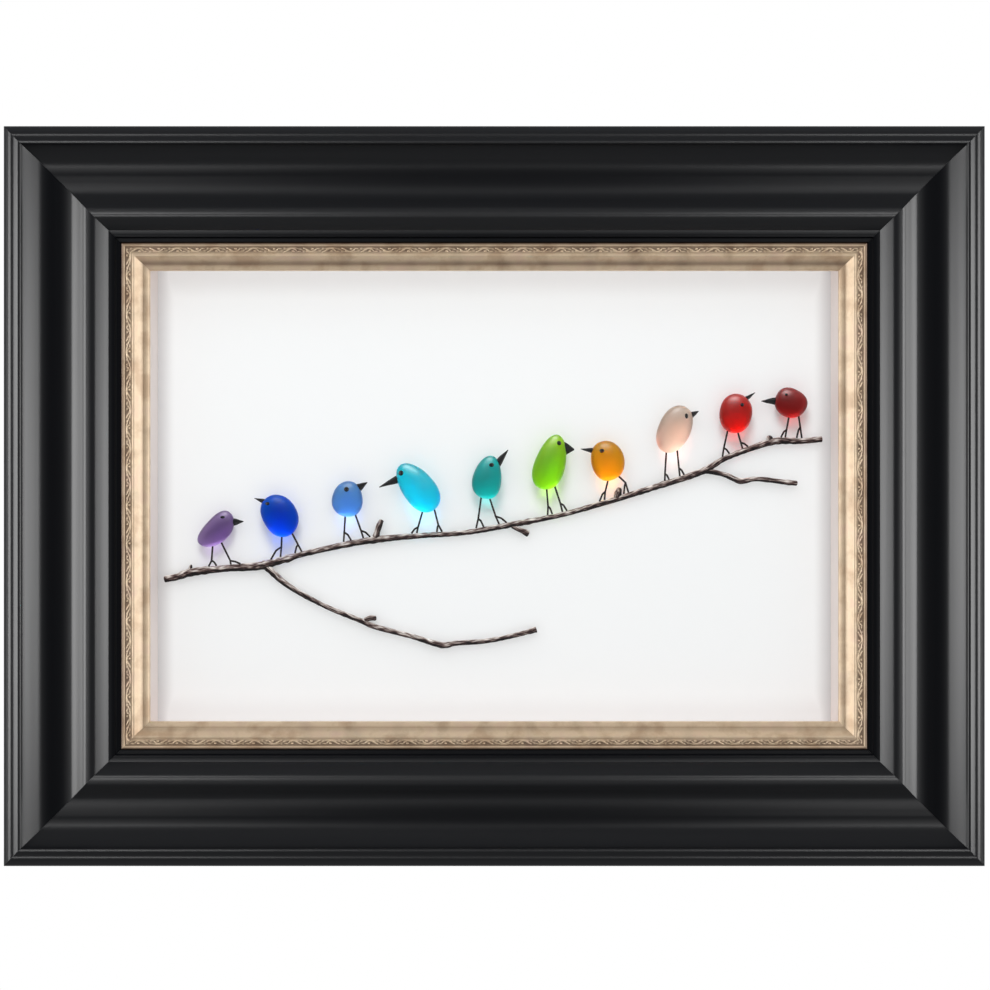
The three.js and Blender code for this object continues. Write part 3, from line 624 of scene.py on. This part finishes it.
def mitred_run(profile, span, reach, stations):
    """The profile carried along a side, with both ends cut at 45 degrees: each station is a share from
    -1 to 1 of half the side's length, which is span / 2 less the distance inwards."""
    half = span / 2 - profile[:, 0] - MITRE_GAP / 2
    right = stations[:, None] * half[None, :]
    forwards = np.broadcast_to(profile[:, 1], right.shape)
    up = np.broadcast_to(reach - profile[:, 0], right.shape)
    return np.stack([right, forwards, up], axis=-1)


def surround(width, height):
    """Span and reach of each side of a surround."""
    return {"top": (width, height / 2), "right": (height, width / 2),
            "bottom": (width, height / 2), "left": (height, width / 2)}


def make_rails():
    """Four mitred rails. Their backs are sawn and stained. The lacquer's shine falls off in the trough
    of the scoop, on the ledge and lip, and on the outer sides."""
    profile = rail_profile()
    across = profile_length(profile)
    lacquer = satin_lacquer()
    sawn = stained_back()
    stations = np.array([-1.0, 1.0])
    end_faces = 2
    back_points = 4
    sawn_face = np.zeros(len(profile) + end_faces, dtype=bool)
    sawn_face[len(profile) - back_points:len(profile) - 1] = True
    trough = np.exp(-((profile[:, 0] - TROUGH_MIDDLE) / TROUGH_REACH) ** 4)
    ledge = profile[:, 0] > RAIL_WIDTH - LIP_SHOULDER - LEDGE_WIDTH + 0.1
    hollows = np.maximum(trough, ledge | (profile[:, 0] < 0.1))
    for side, (span, reach) in surround(OUTER_WIDTH, OUTER_HEIGHT).items():
        run = mitred_run(profile, span, reach, stations)
        uv = np.stack([run[..., 0].ravel(), np.tile(across, len(stations))], axis=1)
        make_piece(f"moulding_{side}", [lacquer, sawn], [turn_side(run, side)],
                   nodes=[f"rail_{side}"], uv=uv, wash=np.tile(hollows, len(stations)), sharp=32,
                   back=sawn_face)


def liner_profile():
    """Section of the gold liner as (inwards, forwards): flange, rim, bed of leaves, fillet, ogee and
    sight lip. The bed is cut into fine steps, so that it can carry the leaves, and its place among the
    points is given too."""
    face = LIP_COVER + GAP - RABBET_PLAY
    sight = LINER_FACE + LIP_COVER - RABBET_PLAY
    front = RABBET_DEPTH + LINER_RISE
    bed = face + LINER_RIM
    bed_end = bed + LEAF_BED
    lip = sight - SIGHT_LIP
    lip_front = front - OGEE_DROP
    bed_front = front - BED_SINK
    flange = [[0, LINER_BACK], [0, LINER_BACK + LINER_FLANGE], [face, LINER_BACK + LINER_FLANGE]]
    rim = [[face, front - 0.7], [face + 0.12, front - 0.25], [face + 0.4, front - 0.02], [bed - 0.5, front],
           [bed - 0.2, front - 0.1], [bed - 0.05, front - 0.3]]
    inwards = np.linspace(bed, bed_end, LEAF_STEPS)
    leaf_bed = np.stack([inwards, np.full(LEAF_STEPS, bed_front)], 1)
    turn = np.linspace(0.15, np.pi - 0.5, 7)
    fillet = np.stack([bed_end + LINER_FILLET * 0.5 * (1 - np.cos(turn)),
                       bed_front + BED_SINK * 0.8 * np.sin(turn)], 1)
    share = np.linspace(0, 1, 9)
    ogee_start = fillet[-1]
    fall = 0.4 * share + 0.6 * np.sin(np.pi / 2 * share)
    ogee = np.stack([ogee_start[0] + (lip + 0.35 - ogee_start[0]) * share,
                     ogee_start[1] + (lip_front - 0.35 - ogee_start[1]) * fall], 1)
    lip_face = [[lip + 0.45, lip_front - 0.37], [lip + 0.6, lip_front - 0.15], [lip + 0.8, lip_front - 0.12],
                [sight - 1.1, lip_front - 0.4], [sight - 0.8, lip_front - 0.58],
                [sight - 0.35, lip_front - 0.74], [sight - 0.1, lip_front - 0.95],
                [sight, lip_front - 1.3], [sight, LINER_BACK]]
    profile = np.concatenate([flange, rim, leaf_bed, fillet, ogee[1:], lip_face])
    first = len(flange) + len(rim)
    return profile, slice(first, first + LEAF_STEPS)


# Lobes of one leaf spray: place along and across its cell, length, width, slant and height. The spray
# fills one cell of the running vine, and every second cell is turned over.
LEAF_LOBES = [
    (-2.9, -0.55, 1.25, 0.42, 28, 0.75),
    (-1.7, 0.25, 1.35, 0.50, 35, 0.95),
    (-0.5, 0.75, 1.15, 0.44, 12, 0.85),
    (0.6, 0.55, 0.95, 0.42, -25, 0.8),
    (1.5, -0.05, 0.85, 0.40, -50, 0.75),
    (0.3, -0.55, 0.62, 0.52, 0, 1.0),
    (2.9, -0.7, 1.1, 0.36, 15, 0.6),
    (3.6, 0.6, 0.7, 0.34, -20, 0.55),
    (-3.6, 0.95, 0.55, 0.3, 10, 0.5),
]


def leaf_relief(along, across):
    """Height of the running leaves over their bed. The band is cut into cells one pitch long, each
    turned over from the last. In a cell every lobe is a half-ellipsoid with a vein cut down its middle,
    the tallest lobe wins, and a thin vine winds through all cells as a sine."""
    cell = np.floor(along / LEAF_PITCH)
    flip = np.where(cell % 2 == 0, 1.0, -1.0)
    a = along - (cell + 0.5) * LEAF_PITCH
    b = across * flip
    height = np.zeros_like(along)
    for place, side, length, width, slant, tall in LEAF_LOBES:
        turn = math.radians(slant)
        p = (a - place) * math.cos(turn) + (b - side) * math.sin(turn)
        q = (b - side) * math.cos(turn) - (a - place) * math.sin(turn)
        body = np.sqrt(np.clip(1 - (p / length) ** 2 - (q / width) ** 2, 0, None))
        vein = 0.22 * np.exp(-(q / 0.11) ** 2) * body
        height = np.maximum(height, tall * body - vein)
    winding = 1.15 * np.sin(np.pi * along / LEAF_PITCH)
    vine = 0.5 * np.exp(-((across - winding) / 0.24) ** 2)
    return np.maximum(height, vine) * LEAF_HEIGHT


def make_liner():
    """Four mitred liners with leaves raised on their beds. The brown toning lies round the leaves, in
    thin clouds and in the groove before the sight lip. Along the rail's lip it is painted shadow, and in
    the groove it is partly painted shade, most of it at the top and some at the bottom."""
    profile, bed = liner_profile()
    across = profile_length(profile)
    middle = profile[bed, 0].mean()
    half_band = (profile[bed, 0][-1] - profile[bed, 0][0]) / 2
    # painted shadow: the rim browned where the rail's lip would shade it
    painted_lip_shadow = 0.9 * np.clip((LIP_COVER + 1.1 - profile[:, 0]) / 0.8, 0, 1)
    groove = LINER_FACE + LIP_COVER - RABBET_PLAY - SIGHT_LIP + 0.1
    in_groove = np.exp(-((profile[:, 0] - groove) / 1.3) ** 2)
    # toning in the groove, 0.1 on each side; what the top and bottom have beyond that is painted shade
    groove_toning_and_shade = {"top": 0.6, "bottom": 0.25, "left": 0.1, "right": 0.1}
    leaf = champagne_leaf()
    width = RABBET_WIDTH - 2 * RABBET_PLAY
    height = RABBET_HEIGHT - 2 * RABBET_PLAY
    for side, (span, reach) in surround(width, height).items():
        stations = np.linspace(-1, 1, int(span / 0.32))
        run = mitred_run(profile, span, reach, stations)
        along = run[:, bed, 0]
        over = np.broadcast_to(profile[bed, 0] - middle, along.shape)
        relief = leaf_relief(along, over * 1.9 / half_band)
        fade = np.clip((1 - np.abs(over) / half_band) * 6, 0, 1)
        run[:, bed, 1] += relief * fade
        wash = np.zeros(run.shape[:2])
        wash[:, bed] = np.clip(1 - relief / 0.34, 0, 1) * np.clip(1.2 - over / half_band, 0, 1) * 0.72
        wash += 0.15 * np.clip(ripple(run, 14, 6, 3), 0, 1)
        wash += painted_lip_shadow + in_groove * groove_toning_and_shade[side]
        uv = np.stack([run[..., 0].ravel(), np.tile(across, len(stations))], axis=1)
        make_piece(f"gilt_liner_{side}", [leaf], [turn_side(run, side)],
                   nodes=[f"liner_{side}"], uv=uv, wash=np.clip(wash, 0, 1), sharp=50)


# Twig

# Limbs of the twig: place to the right and up as shares of its span, and radius as a share of its
# thickness
TWIG_STEM = [
    (-0.5032, -0.1268, 0.56), (-0.484, -0.1232, 0.62), (-0.465, -0.1168, 0.73), (-0.407, -0.11, 0.6),
    (-0.356, -0.106, 0.77), (-0.295, -0.0892, 0.5), (-0.223, -0.0732, 0.56), (-0.18, -0.0662, 0.62),
    (-0.112, -0.0602, 0.48), (-0.049, -0.0562, 0.46), (0.0285, -0.043, 0.52), (0.1, -0.029, 0.46),
    (0.175, -0.008, 0.5), (0.247, 0.0144, 0.54), (0.32, 0.039, 0.6), (0.3495, 0.0565, 0.48),
    (0.398, 0.075, 0.54), (0.427, 0.0835, 0.65), (0.468, 0.084, 0.52), (0.5, 0.087, 0.54)]
TWIG_PRONG = [
    (0.318, 0.0385, 0.46), (0.335, 0.0365, 0.46), (0.354, 0.0315, 0.42), (0.375, 0.023, 0.56),
    (0.398, 0.026, 0.42), (0.445, 0.021, 0.44), (0.462, 0.0195, 0.46)]
TWIG_SHOOT = [
    (-0.348, -0.107, 0.65), (-0.318, -0.1335, 0.52), (-0.2625, -0.1655, 0.42), (-0.201, -0.191, 0.46),
    (-0.185, -0.198, 0.5), (-0.1265, -0.2135, 0.44), (-0.077, -0.2273, 0.58), (-0.06, -0.2245, 0.46),
    (-0.01, -0.2205, 0.44), (0.048, -0.208, 0.44), (0.0645, -0.203, 0.58)]
TWIG_STUBS = [
    [(-0.1815, -0.065, 0.62), (-0.1768, -0.0485, 0.52), (-0.1715, -0.036, 0.42)],
    [(0.026, -0.0455, 0.38), (0.041, -0.0525, 0.44), (0.053, -0.0575, 0.65)],
    [(0.186, -0.004, 0.5), (0.1885, 0.004, 0.73), (0.191, 0.013, 0.38)],
    [(-0.198, -0.1895, 0.42), (-0.1895, -0.186, 0.5), (-0.1797, -0.1862, 0.46)],
    [(-0.463, -0.116, 0.42), (-0.463, -0.109, 0.35), (-0.462, -0.1045, 0.19)],
    [(0.421, 0.0825, 0.54), (0.4195, 0.0885, 0.5), (0.419, 0.0925, 0.27)]]


def smooth_path(points, steps):
    """Curve through the points, each with the same share of the steps. Every span is a cubic whose end
    slopes come from its neighbours, weighted by the square root of their distances."""
    whole = np.vstack([2 * points[0] - points[1], points, 2 * points[-1] - points[-2]])
    place = np.linspace(0, len(points) - 1, steps + 1)
    span = np.minimum(place.astype(int), len(points) - 2)
    t = (place - span)[:, None]
    before, start, end, after = (whole[span + k] for k in range(4))
    d0, d1, d2 = (np.sqrt(np.linalg.norm(b - a, axis=1, keepdims=True))
                  for a, b in ((before, start), (start, end), (end, after)))
    leave = ((start - before) / d0 - (end - before) / (d0 + d1) + (end - start) / d1) * d1
    arrive = ((end - start) / d1 - (after - start) / (d1 + d2) + (after - end) / d2) * d1
    return (start + leave * t + (3 * (end - start) - 2 * leave - arrive) * t ** 2
            + (2 * (start - end) + leave + arrive) * t ** 3)


def tube(path, radius, around):
    """A round profile carried along a path of (right, forwards, up). Each section lies square to the
    path, between the forward direction and the direction square to both. Radius is one number, or an
    array of path points x points around."""
    along = np.gradient(path, axis=0)
    along /= np.linalg.norm(along, axis=1, keepdims=True)
    across = np.cross(along, (0.0, 1.0, 0.0))
    across /= np.linalg.norm(across, axis=1, keepdims=True)
    outward = np.cross(along, across)
    turn = np.linspace(0, 2 * np.pi, around, endpoint=False)
    reach = np.broadcast_to(radius, (len(path), around))[..., None]
    return path[:, None] + reach * (np.cos(turn)[None, :, None] * across[:, None]
                                    + np.sin(turn)[None, :, None] * outward[:, None])


def bark_limb(shares, spacing, around, seed):
    """One limb of the twig. Its radius follows the listed ones, swells at knots and lumps, and is broken
    by long creases and flakes: noise on the limb's skin that is stretched along it. The height of that
    noise, from 0 to 1, colours the bark, with painted light added: paler along the upper side, darker
    along the underside."""
    points = np.array(shares)
    centre = points[:, :2] * TWIG_SPAN
    length = np.linalg.norm(np.diff(centre, axis=0), axis=1).sum()
    steps = max(8, int(length / spacing))
    flat = smooth_path(centre, steps)
    place = np.linspace(0, len(points) - 1, steps + 1)
    plain = np.interp(place, np.arange(len(points)), points[:, 2])[:, None] * TWIG_THICKNESS
    run = profile_length(flat)[:, None]
    turn = np.linspace(0, 2 * np.pi, around, endpoint=False)[None, :]
    wander = turn + 0.15 * ripple(run[..., None], 12.0, 5, seed)
    ring = [plain * np.cos(wander), plain * np.sin(wander)]
    creases = ripple(np.stack([np.broadcast_to(run / 10, wander.shape), *ring], -1), 1.7, 12, seed + 1)
    flakes = ripple(np.stack([np.broadcast_to(run / 6, wander.shape), *ring], -1), 0.75, 14, seed + 2)
    lumps = ripple(run[..., None], 4.2, 6, seed + 3)
    knots = np.clip(ripple(run[..., None], 13.0, 5, seed + 4) - 0.45, 0, 1)
    skin = 0.6 * creases + 0.4 * np.tanh(2.5 * flakes)
    radius = plain * (1 + 0.09 * skin + 0.06 * lumps + 0.3 * knots)
    path = np.stack([flat[:, 0], np.full(len(flat), float(TWIG_DEPTH)), flat[:, 1]], axis=1)
    ends = np.array([[0.55], [0.88], [1.0]])
    radius[:3] *= ends
    radius[-3:] *= ends[::-1]
    uv = np.stack(np.broadcast_arrays(run, turn * 1.4), axis=-1).reshape(-1, 2)
    # painted light: the upper side of each limb paler and the underside darker
    painted_top_light = 0.27 * np.cos(turn)
    return tube(path, radius, around), uv, np.clip(0.46 + 0.4 * skin + painted_top_light, 0, 1)


def make_twig():
    """The stem, its two side shoots and the stubs of broken ones."""
    limbs = [bark_limb(TWIG_STEM, 0.34, 30, 11), bark_limb(TWIG_SHOOT, 0.34, 26, 21),
             bark_limb(TWIG_PRONG, 0.34, 26, 31)]
    limbs += [bark_limb(stub, 0.3, 24, 41 + 6 * i) for i, stub in enumerate(TWIG_STUBS)]
    lofts, uvs, heights = zip(*limbs)
    make_piece("forked_twig", [dry_bark()], list(lofts), nodes=["branch"],
               uv=np.concatenate(uvs), wash=np.concatenate([h.ravel() for h in heights]), sharp=60)


def stem_at(right):
    """The stem's middle height and its radius at a place across the picture."""
    points = np.array(TWIG_STEM)
    flat = smooth_path(points[:, :2] * TWIG_SPAN, 1800)
    place = np.linspace(0, len(points) - 1, len(flat))
    radius = np.interp(place, np.arange(len(points)), points[:, 2]) * TWIG_THICKNESS
    return np.interp(right, flat[:, 0], flat[:, 1]), np.interp(right, flat[:, 0], radius)


# Birds

# Each bird has a place along the twig as a share of its span, the height of the pebble's middle over
# the stem, and the pebble's length, width, tilt from upright to the right, taper and bend. A beak has
# the direction where it leaves the pebble, its aim, reach and base. A leg has its hip, ankle (place
# and height over the stem) and two toes. An eye has its place from the pebble's middle and its size.
BIRDS = {
    "purple": dict(
        along=-0.425, rise=19, length=20.3, width=11.6, tilt=45, taper=-0.09, bend=1.3,
        beak=(19, 4, 4.6, 3.5), legs=[(-1, (-1.6, 4.3), (-3, 0.7)), (2.9, (7.1, 3.4), (7.3, 11.8))],
        eye=(3.9, 5.1, 2.2, 1.3), tint="#c8aedb", deep="#a888c4", frost=0.75),
    "blue": dict(
        along=-0.327, rise=20.9, length=20.5, width=16, tilt=-30, taper=0, bend=0.4,
        beak=(136, 163, 4.5, 2.5), legs=[(1.3, (0.9, 6.2), (0.5, -4)), (6, (8.6, 5), (10.3, 7.2))],
        eye=(-5.0, 5.6, 2.3, 1.6), tint="#0698e4", deep="#0890ff", frost=0.15),
    "periwinkle": dict(
        along=-0.2225, rise=21, length=16.4, width=14.2, tilt=5, taper=0.1, bend=-0.2,
        beak=(46, 31, 4.6, 4), legs=[(-1.2, (-1.8, 5.8), (-2.1, 1.4)), (3.4, (6, 5.2), (7.1, 10.3))],
        eye=(-0.3, 4.3, 2.3, 2.3), tint="#88bcd6", deep="#98d4ff", frost=0.5),
    "cyan": dict(
        along=-0.117, rise=22.6, length=26.2, width=15, tilt=-38, taper=0.15, bend=0.2,
        beak=(159, 203, 9.1, 3.2), legs=[(2.5, (0.3, 4), (-0.3, -2.8)), (7.9, (9.7, 4.6), (11.5, 9))],
        eye=(-7.0, 6.5, 2.5, 2.5), tint="#06e1e2", deep="#0cf4ff", frost=1.0),
    "teal": dict(
        along=-0.009, rise=24, length=20.3, width=13.3, tilt=9, taper=0.2, bend=-0.5,
        beak=(53, 55, 7.5, 3.4), legs=[(-3.3, (-4.7, 5.6), (-5.7, -2.2)), (0.6, (3.4, 5.2), (5, 8.5))],
        eye=(1.6, 5.4, 2.3, 1.9), tint="#08dcda", deep="#0adcda", frost=0.9),
    "green": dict(
        along=0.0845, rise=25.8, length=26.2, width=14.2, tilt=17, taper=0.2, bend=0.4,
        beak=(39, -3, 3.9, 5.4), legs=[(-1.5, (-0.8, 5.4), (-1, 1.2)), (2.2, (4.9, 5.5), (5.9, 8))],
        eye=(4.1, 8.3, 2.1, 2.1), tint="#ccea20", deep="#ccf818", frost=1.0),
    "orange": dict(
        along=0.171, rise=19.2, length=18.6, width=15.4, tilt=-13, taper=0.03, bend=0.4,
        beak=(145, 172, 5.5, 2.5), legs=[(0.6, (-0.6, 5.1), (-1, -3.3)), (5.4, (8.8, 6.4), (10.2, 8))],
        eye=(-2.6, 4.2, 2.2, 1.9), tint="#dcbb04", deep="#ffe208", frost=0.55),
    "cream": dict(
        along=0.274, rise=24.1, length=23.2, width=14.9, tilt=25, taper=0, bend=0,
        beak=(39, 30, 3.6, 2.9), legs=[(-3.8, (-4.3, 4.8), (-4.4, -2.4)), (1.2, (2.2, 5.3), (2.6, 4.6))],
        eye=(4.9, 5.8, 1.6, 2.5), tint="#d8d3ca", deep="#fff4ea", frost=0.6),
    "red": dict(
        along=0.3665, rise=18.9, length=18.2, width=15.1, tilt=7, taper=0, bend=0.2,
        beak=(54, 33, 4.8, 2.2), legs=[(-3.6, (-5.2, 5.1), (-5.8, -2.6)), (1.1, (2.7, 4.4), (3.5, 6))],
        eye=(2.6, 3.6, 1.7, 1.7), tint="#ea3212", deep="#f2260c", frost=1.0),
    "crimson": dict(
        along=0.4515, rise=18, length=15.2, width=13.7, tilt=-65, taper=-0.04, bend=-0.6,
        beak=(177, 180, 6.4, 3.7), legs=[(-1.1, (-2, 5.1), (-2.6, -4.6)), (3.4, (4.4, 6.4), (5.1, 2.7))],
        eye=(-3.0, 3.1, 1.4, 1.2), tint="#d81a1c", deep="#c00c0e", frost=1.0),
}


def plump(value):
    """Signed power, which makes a superellipse out of a sine and a cosine."""
    return np.sign(value) * np.abs(value) ** (2 / PEBBLE_FULLNESS)


def pebble_points(bird, climb, turn):
    """Pebble surface round its middle. Up its axis it runs as plump(sin climb), its girth is
    plump(cos climb) less the taper, and round it the half-width and the flatter half-depth follow the
    cosine and sine of the turn. The middle is pushed aside by the bend, then all is tilted."""
    share = plump(np.sin(climb))
    girth = plump(np.clip(np.cos(climb), 0, None)) * (1 - bird["taper"] * share)
    half = bird["width"] / 2
    side = half * girth * np.cos(turn) + bird["bend"] * (1 - share ** 2)
    forwards = half * PEBBLE_FLATNESS * girth * np.sin(turn)
    up = share * bird["length"] / 2
    tilt = math.radians(bird["tilt"])
    return np.stack([side * math.cos(tilt) + up * math.sin(tilt), forwards,
                     up * math.cos(tilt) - side * math.sin(tilt)], axis=-1)


def pebble_outline(bird):
    """The pebble's outline from the front: directions in degrees, the distance from the middle in each,
    and the outline's points."""
    climb = np.linspace(-np.pi / 2, np.pi / 2, 400)
    right = pebble_points(bird, climb, np.zeros_like(climb))
    left = pebble_points(bird, climb[::-1], np.full_like(climb, np.pi))
    loop = np.concatenate([right, left])[:, [0, 2]]
    angle = np.degrees(np.arctan2(loop[:, 1], loop[:, 0])) % 360
    order = np.argsort(angle)
    return angle[order], np.linalg.norm(loop, axis=1)[order], loop


def make_pebble(name, bird, middle, depth):
    """A pebble whose skin is worn unevenly by soft noise. Gives its points, for the eye to sit on."""
    rows, around = 64, 72
    climb = np.linspace(-np.pi / 2 + 0.012, np.pi / 2 - 0.012, rows)[:, None]
    turn = np.linspace(0, 2 * np.pi, around, endpoint=False)[None, :]
    skin = pebble_points(bird, *np.broadcast_arrays(climb, turn))
    seed = list(BIRDS).index(name) * 7 + 5
    worn = 1 + 0.012 * ripple(skin, 9.0, 6, seed) + 0.004 * ripple(skin, 2.6, 8, seed + 1)
    skin = skin * worn[..., None]
    placed = skin + np.array([middle[0], depth, middle[1]])
    glass = sea_glass(f"sea_glass_{name}", bird["tint"], bird["deep"], bird["frost"])
    make_piece(f"glass_{name}", [glass], [placed], nodes=[f"pebble_{name}"])
    return placed


def make_beak(name, bird, middle, depth, stone):
    """A split chip: its sections run from a wide foot against the pebble to a blunt tip, each a
    flattened six-sided outline whose corners are jogged a little."""
    start, aim, reach, base = bird["beak"]
    angle, distance, loop = pebble_outline(bird)

    def edge(degrees):
        out = np.interp(degrees % 360, angle, distance, period=360)
        ray = np.array([math.cos(math.radians(degrees)), math.sin(math.radians(degrees))])
        return ray * (out - 0.15)

    spread = math.degrees(base / 2 / np.linalg.norm(edge(start)))
    top, bottom = edge(start + spread), edge(start - spread)
    foot = (top + bottom) / 2
    aimed = np.array([math.cos(math.radians(aim)), math.sin(math.radians(aim))])
    tip = edge(start) + aimed * reach
    chance = np.random.default_rng(len(name) * 13 + int(reach * 10))
    shares = np.array([0, 0.3, 0.62, 1.0])
    widths = np.array([1.0, 0.78, 0.48, 0.1])
    corners = np.array([[1.0, 0.0], [0.45, 0.9], [-0.4, 1.0], [-1.0, 0.0], [-0.5, -0.9], [0.4, -1.0]])
    sections = []
    for share, width in zip(shares, widths):
        centre = foot + (tip - foot) * share
        half = (top - foot) * width
        thick = BEAK_THICKNESS / 2 * (0.35 + 0.65 * width)
        ring = corners + chance.uniform(-0.12, 0.12, corners.shape) * (share > 0)
        flat = centre + ring[:, :1] * half
        sections.append(np.stack([flat[:, 0] + middle[0], depth + ring[:, 1] * thick,
                                  flat[:, 1] + middle[1]], axis=1))
    beak = make_piece(f"stone_beak_{name}", [stone], [np.array(sections)],
                      nodes=[f"beak_{name}"], sharp=10)
    chamfer = beak.modifiers.new("chamfer", "BEVEL")
    chamfer.width = 0.09 * MM
    chamfer.segments = 2
    chamfer.limit_method = "ANGLE"
    chamfer.angle_limit = math.radians(14)


def rounded(corners):
    """Cuts each corner of a path at a quarter of its two spans, three times over."""
    path = np.array(corners, dtype=float)
    for _ in range(3):
        start, end = path[:-1], path[1:]
        cut = np.stack([start * 0.75 + end * 0.25, start * 0.25 + end * 0.75], axis=1).reshape(-1, 3)
        path = np.vstack([path[:1], cut, path[-1:]])
    return path


def make_leg(name, side, bird, leg, middle, depth, wire):
    """Two wires: one bent from the pebble over the ankle to the first toe, and one from the ankle out
    to a knuckle and down to the second toe. The toes lie on the twig, turned forwards from its top, and
    the wire's thickness swells and wavers a little."""
    hip_right, (ankle_right, ankle_up), toes = leg
    grip = math.radians(TOE_TURN)

    def toe(offset):
        height, radius = stem_at(middle[0] + offset)
        reach = radius + WIRE_RADIUS * 0.8
        return np.array([middle[0] + offset, TWIG_DEPTH + reach * math.sin(grip),
                         height + reach * math.cos(grip)])

    loop = pebble_outline(bird)[2]
    low = loop[loop[:, 1] < 0]
    low = low[np.argsort(low[:, 0])]
    under = np.interp(hip_right, low[:, 0], low[:, 1])
    hip = np.array([middle[0] + hip_right, depth, middle[1] + under + 0.35])
    first, second = toe(toes[0]), toe(toes[1])
    ankle = np.array([middle[0] + ankle_right, first[1], stem_at(middle[0] + ankle_right)[0] + ankle_up])
    knuckle = np.array([(ankle[0] + second[0]) / 2, ankle[1], ankle[2] * 0.72 + second[2] * 0.28])
    shank = rounded([hip, ankle * 0.97 + hip * 0.03, ankle, ankle * 0.95 + first * 0.05, first])
    fork = rounded([ankle, ankle * 0.2 + knuckle * 0.8, knuckle, knuckle * 0.7 + second * 0.3, second])
    lofts = []
    for wire_path in (shank, fork):
        thickness = WIRE_SWELL + WIRE_WAVE * ripple(wire_path, 2.5, 6, len(name))
        lofts.append(tube(wire_path, WIRE_RADIUS * thickness[:, None], 12))
    make_piece(f"wire_leg_{side}_{name}", [wire], lofts,
               nodes=[f"leg_{side}_{name}"], sharp=60)


def make_eye(name, bird, skin, middle, enamel):
    """A drop of enamel: a flat ellipsoid, half sunk in the pebble where its surface faces front."""
    right, up, width, height = bird["eye"]
    target = np.array([middle[0] + right, middle[1] + up])
    grid = skin.reshape(-1, 3)
    front = grid[:, 1] > skin[..., 1].mean()
    away = np.linalg.norm(grid[:, [0, 2]] - target, axis=1) + np.where(front, 0, 1e3)
    spot = grid[np.argmin(away)]
    centre = grid.mean(axis=0)
    size = np.array([bird["width"], bird["width"] * PEBBLE_FLATNESS, bird["length"]])
    outward = (spot - centre) / size ** 2
    outward /= np.linalg.norm(outward)
    side = np.cross((0.0, 0.0, 1.0), outward)
    side /= np.linalg.norm(side)
    top = np.cross(outward, side)
    climb = np.linspace(-np.pi / 2 + 0.02, np.pi / 2 - 0.02, 14)[:, None, None]
    turn = np.linspace(0, 2 * np.pi, 20, endpoint=False)[None, :, None]
    bulge = 0.42 * min(width, height)
    spot = spot + outward * bulge * 0.4
    loft = (spot + np.cos(climb) * np.cos(turn) * side * width / 2
            + np.cos(climb) * np.sin(turn) * top * height / 2 + np.sin(climb) * outward * bulge)
    make_piece(f"eye_{name}", [enamel], [loft])


def make_birds():
    """Sets each bird over its place on the stem, a small gap in front of the board."""
    stone, wire, enamel = split_basalt(), annealed_wire(), black_enamel()
    for name, bird in BIRDS.items():
        right = bird["along"] * TWIG_SPAN
        middle = (right, stem_at(right)[0] + bird["rise"])
        depth = BOARD_FRONT + GAP + bird["width"] / 2 * PEBBLE_FLATNESS * (1 + abs(bird["taper"]))
        skin = make_pebble(name, bird, middle, depth)
        make_beak(name, bird, middle, depth, stone)
        make_eye(name, bird, skin, middle, enamel)
        for side, leg in zip(("left", "right"), bird["legs"]):
            make_leg(name, side, bird, leg, middle, depth, wire)


# Board, box and back

def finish_box():
    """The CAD's own boards keep their shape and take their finishes."""
    finishes = {
        "art_board": board_with_painted_shade(),
        "back_panel": pressed_hardboard(),
        "sawtooth_hanger": zinc_plate(),
    }
    wall = white_card("lining_card", "#ece2de")[0]
    finishes.update({f"box_wall_{side}": wall for side in SIDES})
    for node, finish in finishes.items():
        mesh = frame["nodes"][node].data
        mesh.materials.clear()
        mesh.materials.append(finish)


place_camera()
light_the_room()
lay_floor()
make_rails()
make_liner()
make_twig()
make_birds()
finish_box()
set_flags()
